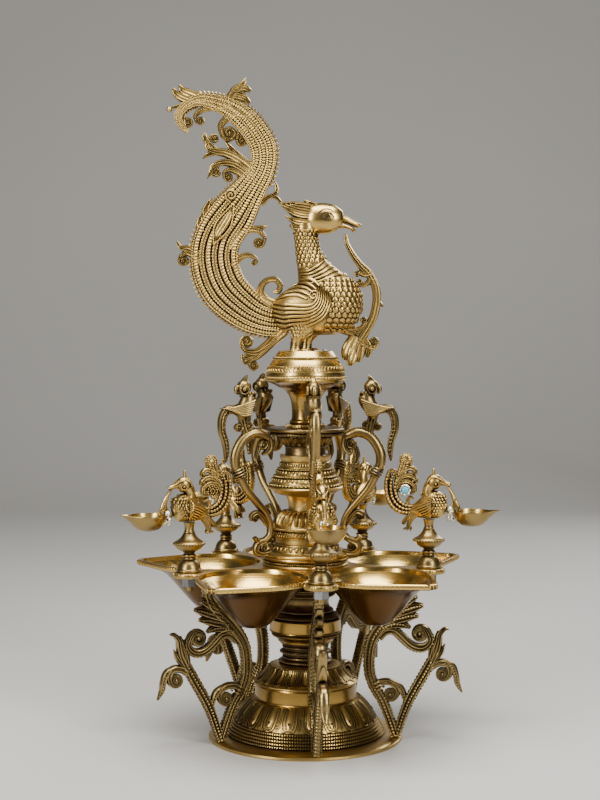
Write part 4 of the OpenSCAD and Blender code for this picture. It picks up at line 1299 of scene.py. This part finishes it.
def scale_places():
    """Places for the scales on the neck and breast, each with its lower edge standing out a little."""
    places, row, z = [], 0, 571.0
    while z > 459:
        row += 1
        size = 1 + 0.36 * max(0, min(1, (552 - z) / 26))
        left = between([(p[1], p[0] - p[2]) for p in FRONT], z)
        right = 66
        x, last, walk = left + 0.3, None, 2.6 * size * (row % 2)
        while x < right:
            y = body_side(x, z)
            here = Vector((x, y))
            walk += (here - last).length if last else 0
            last = here
            on_wing = z < 519 and x < 22 - max(0, (z - 505)) * 1.3
            on_ridges = between(NECK_RIDGES_FOOT, x) < z < between(NECK_RIDGES_TOP, x)
            if walk > 5.2 * size and y > 1.6:
                walk = 0
                if not (on_wing or on_ridges):
                    slope_x = (body_side(x + 0.4, z) - body_side(x - 0.4, z)) / 0.8
                    slope_z = (body_side(x, z + 0.8) - body_side(x, z - 0.8)) / 1.6
                    for side in (1, -1):
                        normal = Vector((-slope_x, side, -max(-2, min(2, slope_z)))).normalized()
                        flat = normal.to_track_quat("Y", "Z").to_matrix().to_4x4()
                        places.append(shift(x, side * y, z) @ flat @ turn(14 * side, "X") @
                                      turn(90, "Y") @ Matrix.Diagonal((size, size, size, 1)))
            x += 0.3
        z -= 4.1 * size
    return places


def make_peacock():
    """The body and neck, with their scales and ridges, wings and legs."""
    cast = Casting()
    egg = turned([(0, -54)] + [(r, h) for h, r in smooth_path(BREAST, 4)] + [(0, 50)], closed=False,
                 steps=64)
    cast.add(egg, [shift(14, 0, 487) @ turn(78, "Y") @ Matrix.Diagonal((0.97, 0.86, 0.97, 1))])
    cast.add(swept([(x, 0, z, w, t) for x, z, w, t in FRONT], oval(40), level=True))
    cast.add(bead(1, (2.9, 1.3, 2.75), 10, 6), scale_places())
    for side in (1, -1):
        for k in range(5):
            ridge = smooth_path([(-8 + k * 1.2, 527 - k * 3.6, 1.0), (4 + k * 2.4, 527 - k * 3.2, 1.5),
                                 (16 + k * 3.4, 534 - k * 3.4, 1.5), (24 + k * 4.2, 541 - k * 4.6, 1.0)],
                                6)
            cast.add(swept([(x, side * (body_side(x, z) + 0.5), z, w, 1.5) for x, z, w in ridge]))
    add_wings(cast)
    add_legs(cast)
    cast.finish("peacock_breast", ANTIQUE, "finial", "antique_brass", ["peacock_body"])
    make_peacock_head()


def add_wings(cast):
    """Swirled wing feathers on both sides, and the curl behind them."""
    for side in (1, -1):
        for k in range(7):
            feather = [(-41 + k * 1.2, 492 - k * 4.6, 1.2), (-27 + k * 0.5, 489.6 - k * 4.7, 2.1),
                       (-11, 488 - k * 4.0, 2.2), (4, 488 - k * 3.6, 2.2),
                       (15.4 + (k - 3) * 1.4, 493 - k * 3.0, 2.0),
                       (20 + (k - 3) * 2.3, 502 - k * 2.0, 1.7),
                       (18.6 + (k - 3) * 2.4, 511 - k * 1.6, 0.8)]
            path = [(x, side * (body_side(x, z) + 0.5), z, w, 3.0) for x, z, w in smooth_path(feather, 6)]
            cast.add(swept(path))
            cast.add(bead(0.75, sides=6, rows=4),
                     along([(x, y + side * 2.7, z, w, t) for x, y, z, w, t in path[3:20]], 2.6, 0, 0,
                           (1,)))
        for k in range(5):
            feather = [(-33 + k * 6.6, 495 + k * 5.4, 1.2), (-22 + k * 6.0, 499 + k * 4.8, 2.1),
                       (-10 + k * 4.8, 499.6 + k * 4.0, 2.2), (1 + k * 3.4, 495.6 + k * 3.6, 1.4)]
            path = [(x, side * (body_side(x, z) + 0.5), z, w, 3.0) for x, z, w in smooth_path(feather, 6)]
            cast.add(swept(path))
        spiral_path = []
        for k in range(22):
            angle = math.radians(-30 + 24 * k)
            r = 6.6 * (1 - k / 25)
            x, z = 9 + r * math.cos(angle), 499 + r * math.sin(angle)
            spiral_path.append((x, side * (body_side(x, z) + 1.2), z, 1.3, 1.8))
        cast.add(swept(spiral_path))
    curl = stations([(-34, 488, 7), (-47, 496, 5.4), (-50.6, 506, 4.2), (-45, 515, 3.6),
                     (-35, 517.6, 3.4), (-28.4, 511, 3.4), (-31, 503.6, 3), (-36, 505, 1.6)], 5)
    cast.add(swept(curl, GROOVED))
    cast.add(bead(0.8, sides=6, rows=4), along(curl, 2.4, 0, 0.75))


def make_peacock_head():
    """The polished head and open bill, the cut eyes, and the crest of leaves."""
    head = Casting()
    shape = smooth_path([(0, 585, 7, 6), (2, 585, 12, 10), (9, 585.2, 16.4, 13), (19, 585.4, 17.6, 14.2),
                         (29, 585, 16.4, 13.2), (36, 584, 13.2, 11), (40, 583, 9.4, 8.4),
                         (42, 582.6, 6, 6)], 5)
    head.add(swept([(x, 0, z, w, t) for x, z, w, t in shape], oval(36)))
    for drop, reach, half in ((0, 62.4, 3.8), (-7.2, 56.4, 2.6)):
        bill = [(40, 585.6 + drop, half + 1.6, 6), (46, 584 + drop, half, 5.4),
                (53, 580.4 + drop * 0.9, half * 0.85, 5.6),
                (reach - 3, 577.8 + drop * 0.8, half * 0.75, 5),
                (reach, 577.4 + drop * 0.75, half * 0.4, 3)]
        head.add(swept(upright(bill, 5)))
    head.finish("peacock_head", SATIN, "finial", "antique_brass")
    cast = Casting()
    lines = Casting()
    for side in (1, -1):
        lid = [(24 + 7.4 * math.cos(a),
                587 + 4.5 * math.sin(a) * (1 - 0.35 * abs(math.cos(a)) ** 3) - 0.6 * math.cos(a), 0.6)
               for a in (math.tau * k / 28 for k in range(29))]
        iris = [(x, z, 0.45) for x, z in ring_line(24, 587, 2.7, 2.7, 20)]
        pupil = [(x, z, 0.8) for x, z in ring_line(24, 587, 0.9, 0.9, 20)]
        brow = smooth_path([(14, 590.4, 0.4), (18.6, 594.6, 0.6), (26, 595.4, 0.6), (33.6, 591, 0.4)], 5)
        for line in (lid, iris, pupil, brow):
            lines.add(swept([(x, side * (side_at(shape, x, z) + 0.1), z, w, 0.8) for x, z, w in line],
                            ROUND[::2]))
        for k in range(3):
            leaf(cast,
                 [(6, 580 - k * 4, 3.4), (-5, 581 - k * 5.4, 4.4), (-13 + k, 583 - k * 7, 3.6),
                  (-22 + k * 4, 588 - k * 10, 0.5)], 3.4, side * (8 - k * 0.8))
        for k in range(4):
            leaf(cast,
                 [(8 + k * 1.4, 588 + k * 2.8, 3.2), (-4 + k * 1.4, 589 + k * 3.0, 4.2),
                  (-15 + k * 2, 592.6 + k * 2.4, 3.4), (-27 + k * 4.5, 600 + k * 0.8, 0.5)], 3.2,
                 side * (7.6 - k * 1.7))
    leaf(cast, [(14, 598, 4), (4, 602, 3.6), (-2, 606, 0.6)], 5)
    leaf(cast, [(6, 598, 4), (-8, 600.4, 4), (-20, 601.6, 3), (-31, 602, 0.6)], 5)
    lines.finish("peacock_eyes", BLACK_LINES_AND_HOLE_SHADE, "finial", "antique_brass")
    collar = [(44.2, 0, 588.4, 1.0, 4), (43.4, 0, 582.6, 1.6, 6.2), (42, 0, 577, 1.0, 4)]
    cast.add(swept(smooth_path(collar, 4)))
    for k in range(3):
        cast.add(swept(smooth_path([(-11.4 + k * 1.4, 0, 574 - k * 2.2, 1.1, 10),
                                    (2, 0, 570 - k * 2.4, 1.1, 13.6),
                                    (13.6, 0, 569.4 - k * 2.6, 1.1, 10)], 5)))
    cast.finish("peacock_crest", ANTIQUE, "finial", "antique_brass")


def add_legs(cast):
    """Two scaled thighs with ringed legs and toes, and the solder they stand in."""
    for side, dx in ((-1, -3), (1, 9)):
        y = side * 13
        thigh = [(6 + dx, 478, 15, 9), (1 + dx, 468, 15, 9), (-4 + dx, 458, 11, 8),
                 (-7 + dx, 449, 6.4, 6), (-8 + dx, 441, 6, 5.6), (-8 + dx, 437.4, 8.4, 7)]
        path = [(x, y, z, w, t) for x, z, w, t in smooth_path(thigh, 5)]
        cast.add(swept(path, oval(20)))
        places = []
        for j in range(6):
            z = 474 - j * 3.9
            x, _, _, w, t = min(path, key=lambda s: abs(s[2] - z))
            count = max(5, round(2 * w / 4.2))
            for k in range(count):
                a = -0.85 + 1.7 * (k + 0.5 * (j % 2)) / count
                places.append(lie(x + a * w, y + side * t * math.sqrt(1 - a * a), z, -80))
        cast.add(bead(1, (2.5, 1.0, 1.9), 8, 5), places)
        for k in range(4):
            cast.add(swept([(-14.6 + dx, y, 447 - k * 2.6, 0.7, 3),
                            (-8 + dx, y, 446.4 - k * 2.6, 0.8, 6.6),
                            (-1.6 + dx, y, 447 - k * 2.6, 0.7, 3)]))
        for toe in (-26, 0, 26):
            tip = Vector((math.cos(math.radians(toe)), math.sin(math.radians(toe)), 0))
            cast.add(bead(1, (6.4, 2.2, 2.0), 10, 6),
                     [shift(-4 + dx + tip.x * 5, y + tip.y * 5, 438.6) @ turn(toe)])
    patch = Casting()
    rng = random.Random(SEED + 11)
    for x, y in ((-17, -12), (-10, -18), (2, -16), (12, -14), (16, -8), (20, 3), (-20, 2), (-14, 14)):
        patch.add(bead(1, (rng.uniform(3, 5.4), rng.uniform(2.4, 4), rng.uniform(0.9, 1.5)), 12, 6),
                  [shift(x, y, 437.6) @ turn(rng.uniform(0, 180))])
    patch.finish("cap_solder", SOLDER, "finial", "polished_brass")


TAIL = [(-28, 471, 17), (-47, 474, 19), (-68, 485, 22), (-92, 508, 25), (-102, 537, 25.5), (-98, 564, 25),
        (-81, 590, 24), (-62, 618, 17), (-48.4, 641, 13.6), (-47.3, 663, 14), (-57, 682, 13.6),
        (-72, 699, 12.6), (-92, 711, 9.6), (-117, 717, 6.4), (-134, 710, 4.6), (-142, 699, 4),
        (-138, 688, 3), (-131, 682, 1)]


def make_peacock_tail():
    """The tall S-shaped tail: beaded strands side by side, with a fringe of barbs."""
    cast = Casting()
    path = stations(TAIL, 4.4, 8)
    rows = [(-0.84 + 0.28 * k, 0.162, 0.95 if k % 2 else 0.88) for k in range(7)] + [
        (a, 0.07, 1.0) for a in (-0.98, 0.98)]
    for a, half, high in rows:
        strand = []
        for i, (x, _, z, w, t) in enumerate(path):
            side = side_of(path, i)
            strand.append((x + side.x * a * w, 0, z + side.z * a * w, w * half, t * high))
        cast.add(swept(strand, ROUND))
        if high < 0.9:
            cast.add(bead(1, (1.35, 1.2, 3.1), 6, 4), along(strand, 3.5, 0, 0.9, full=3.2, lean=16))
        else:
            for a in (-0.42, 0.42) if half > 0.1 else (0,):
                cast.add(bead(1, (1.25, 0.9, 1.0), 6, 4), along(strand, 3.1, a, 0.95, full=2))
    comb(cast, path[4:60], -1.08, 3.7, 4.0, 2.4, 52)
    comb(cast, path[60:106], 1.12, 3.7, 3.8, 2.4, -52)
    comb(cast, path[106:124], -1.16, 3.5, 2.8, 2.2, 52)
    cast.finish("peacock_tail_plumes", ANTIQUE, "finial", "antique_brass", ["peacock_tail"])
    make_tail_branches()


def make_tail_branches():
    """The curls, leaves and branches round the tail, and the scroll under it."""
    cast = Casting()
    for points, radius, hand in (([(-60, 640, 6), (-74, 651, 5.6), (-88, 658, 5), (-99, 660, 4.2),
                                   (-108, 663, 3), (-110, 670, 2.4), (-105, 677, 2)], 4.6, -1),
                                 ([(-58, 632, 5.6), (-70, 641, 5), (-82, 647, 4.6), (-94, 647.6, 3.8),
                                   (-104, 643.6, 2.6), (-105, 637, 2)], 5.2, 1),
                                 ([(-62, 628, 4), (-74, 636, 3.8), (-84, 640, 3), (-91, 637, 2),
                                   (-91, 631, 1.6)], 5.0, 1),
                                 ([(-64, 698, 4), (-76, 703, 4.4), (-85, 711, 4.2), (-85, 721, 3.6),
                                   (-79, 727.6, 3), (-71, 726, 2.2)], 6.2, -1),
                                 ([(-112, 717, 4.6), (-126, 714, 4.2), (-137, 706, 3.8), (-140, 696, 3.2),
                                   (-135, 689, 2.2)], 5.4, 1),
                                 ([(-88, 709, 4), (-104, 709, 3.8), (-116, 706, 3.2), (-123, 700, 2.4),
                                   (-121.6, 693, 1.8)], 4.6, 1),
                                 ([(-60, 699, 4.4), (-74, 701, 4.4), (-86, 698, 4), (-94.6, 689, 3.6),
                                   (-92.6, 678, 2.8)], 8.0, 1),
                                 ([(-54, 690, 3.6), (-64, 688, 3.2), (-74, 682, 2.8), (-76.6, 673, 2.2)],
                                  6.0, 1),
                                 ([(-86, 552, 5), (-76, 566, 4.8), (-64, 573, 4.2), (-53, 572, 3.4),
                                   (-46, 565, 2.4), (-47, 557, 1.8)], 5.8, -1),
                                 ([(-82, 532, 4), (-74, 541, 3.8), (-65, 544.6, 3.2), (-57, 542, 2.4),
                                   (-54.6, 537, 1.8)], 3.2, -1),
                                 ([(-116, 534, 4.4), (-124, 543, 4.2), (-133, 547, 3.4),
                                   (-140, 543, 2.6)], 6.0, 1),
                                 ([(-84, 586, 3.4), (-74, 592, 2.6), (-71, 600, 2), (-75, 606, 1.6)], 5.0,
                                  1),
                                 ([(-24, 461, 7), (-36, 450, 6), (-46, 441, 5.4), (-56, 436, 4.4),
                                   (-68, 438, 3), (-72, 445, 2.4)], 7.0, -1),
                                 ([(-34, 451, 4), (-44, 440, 4), (-54, 431, 3.6), (-61, 427, 2.4),
                                   (-63, 422, 2)], 5.4, 1)):
        curled(cast, points, radius, hand, 4.4, RIBBED if points[0][2] > 5 else GROOVED)
    for points in ([(-70, 650, 4.6), (-80, 660, 3.6), (-86, 667, 2.4), (-91, 675.6, 0.5)],
                   [(-100, 661, 3.6), (-108, 668, 3.6), (-112.6, 676, 3), (-112, 681, 1.4)],
                   [(-98, 660, 3.4), (-108, 657, 3), (-115, 652, 0.6)],
                   [(-96, 648, 3.4), (-104, 640, 3), (-110, 630, 0.6)],
                   [(-84, 716, 4.4), (-79, 727, 5.4), (-71, 733, 4), (-66.6, 742, 0.5)],
                   [(-76, 730, 4.4), (-68, 731, 4.4), (-61, 727, 2)],
                   [(-78, 722, 4), (-68, 719, 4), (-62, 714, 1.6)],
                   [(-116, 718, 5), (-127, 723, 5.6), (-136, 727, 4.6), (-141, 734, 1)],
                   [(-120, 717, 5), (-133, 718, 5), (-143, 723, 4.4), (-148, 730, 1.6)],
                   [(-130, 716, 2.6), (-140, 711, 2.2), (-149, 708.6, 1.4)],
                   [(-136, 702, 3.2), (-137, 692, 3), (-130.6, 683, 0.7)],
                   [(-60, 574, 3.6), (-50, 575, 3), (-42, 577.6, 0.7)],
                   [(-50, 602, 4), (-42, 609, 3), (-34, 613, 2.6), (-32, 620, 1.8), (-36, 630, 0.5)],
                   [(-40, 610, 2.4), (-33, 609, 2.4), (-27.6, 604, 1.8)],
                   [(-118, 545, 4.4), (-130, 551, 4.4), (-139, 553, 3), (-144, 560, 0.8)],
                   [(-110, 584, 4), (-112, 595, 4), (-105, 608, 0.8)],
                   [(-116, 570, 3.4), (-119, 581, 3.2), (-115, 592, 0.8)],
                   [(-54, 436, 3.4), (-66, 431, 3.2), (-73, 429, 0.8)],
                   [(-58, 430, 3), (-68, 424, 2.6), (-71.6, 434, 0.8)]):
        leaf(cast, points, 3.8)
    cast.add(bead(1, (3.4, 3, 3.4), 10, 8), [shift(-152, 0, 707)])
    for side in (1, -1):
        leaf(cast, [(-102, 562, 1.6), (-96, 572, 5), (-89, 583, 5.4), (-84, 592, 3.4), (-81, 599, 0.6)],
             2.4, side * 4.0)
        for bow in (-1, 1):
            edge = [(-103, 556, 0.8), (-96 + bow * 6.4, 571 - bow * 3, 1.2),
                    (-89 + bow * 6.8, 583 - bow * 3, 1.2), (-81 + bow, 600, 0.9)]
            rim = [(x, side * 5.2, z, w, 1.3) for x, z, w in smooth_path(edge, 6)]
            cast.add(swept(rim))
            cast.add(bead(0.8, sides=6, rows=4), along(rim, 2.2, 0, 0.6))
        coil = [(-83 + (7 - 0.24 * k) * math.cos(math.radians(250 - 26 * k)), side * 5.0,
                 611 + (7 - 0.24 * k) * math.sin(math.radians(250 - 26 * k)), 1.35, 1.6)
                for k in range(24)]
        cast.add(swept(coil))
    cast.finish("peacock_tail_branches", ANTIQUE, "finial", "antique_brass")


def make_garland():
    """The leafy stem that hangs from the bill down the breast, and its leaf cluster."""
    cast = Casting()
    stem = scroll(cast,
                  [(44.6, 568, 2), (46.4, 558, 2.6), (53, 545, 3.4), (62, 533, 4), (71, 524, 4.4),
                   (78, 510, 4.6), (80, 496, 4.8), (77, 478, 4.8), (70, 463, 4.8), (62, 450, 5),
                   (56, 438, 5)], 4.0, RIBBED)
    cast.add(bead(0.75, sides=6, rows=4), along(stem, 2.3, 0, 1.0))
    leaf(cast, [(78, 496, 3.4), (84, 490, 2.4), (87.6, 486.6, 0.5)], 3.4)
    for points, radius, hand in (([(74, 524, 3.4), (66, 523, 3.4), (59, 526, 2.4)], 3.2, 1),
                                 ([(74, 520, 3), (68, 512, 3), (61, 511, 2.2)], 3.6, -1),
                                 ([(40, 462, 5), (52, 459, 5), (62, 462, 3.6), (68, 470, 2.4)], 3.6, 1),
                                 ([(58, 450, 4.4), (68, 444, 4), (77, 441, 3), (81, 446, 2)], 4.6, 1),
                                 ([(60, 456, 4), (54, 462, 3.4), (47, 464, 2.4)], 4, 1)):
        curled(cast, points, radius, hand, 4.2)
    for points in ([(56, 454, 6), (50, 444, 7), (46, 435, 6.4), (45, 427, 3)],
                   [(58, 450, 6), (55, 439, 7), (52, 428, 6.4), (50, 420.6, 2.6)],
                   [(62, 450, 5), (62, 440, 6), (60.6, 431, 5), (58.6, 425, 2.4)],
                   [(66, 450, 5), (70, 443, 5), (71, 436, 4), (69, 430, 1.6)]):
        leaf(cast, points, 4.2)
    cast.finish("garland_stem", ANTIQUE, "finial", "antique_brass", ["peacock_garland"])


# ---------- making the lamp ----------

random.seed(SEED)
set_camera()
set_floor()
set_lights()
make_turned_stack()
make_bowls()
make_tab_rims()
make_posts()
make_dishes()
make_brackets()
make_handles()
make_parrots()
make_lamp_birds()
make_peacock()
make_peacock_tail()
make_garland()

for name, node in frame["nodes"].items():
    finish = STEEL if name in ("tie_rod", "tie_nut", "post_washers", "post_nuts") else ANTIQUE
    finish = STONE if name == "stone" else finish
    for slot in node.material_slots:
        slot.material = finish
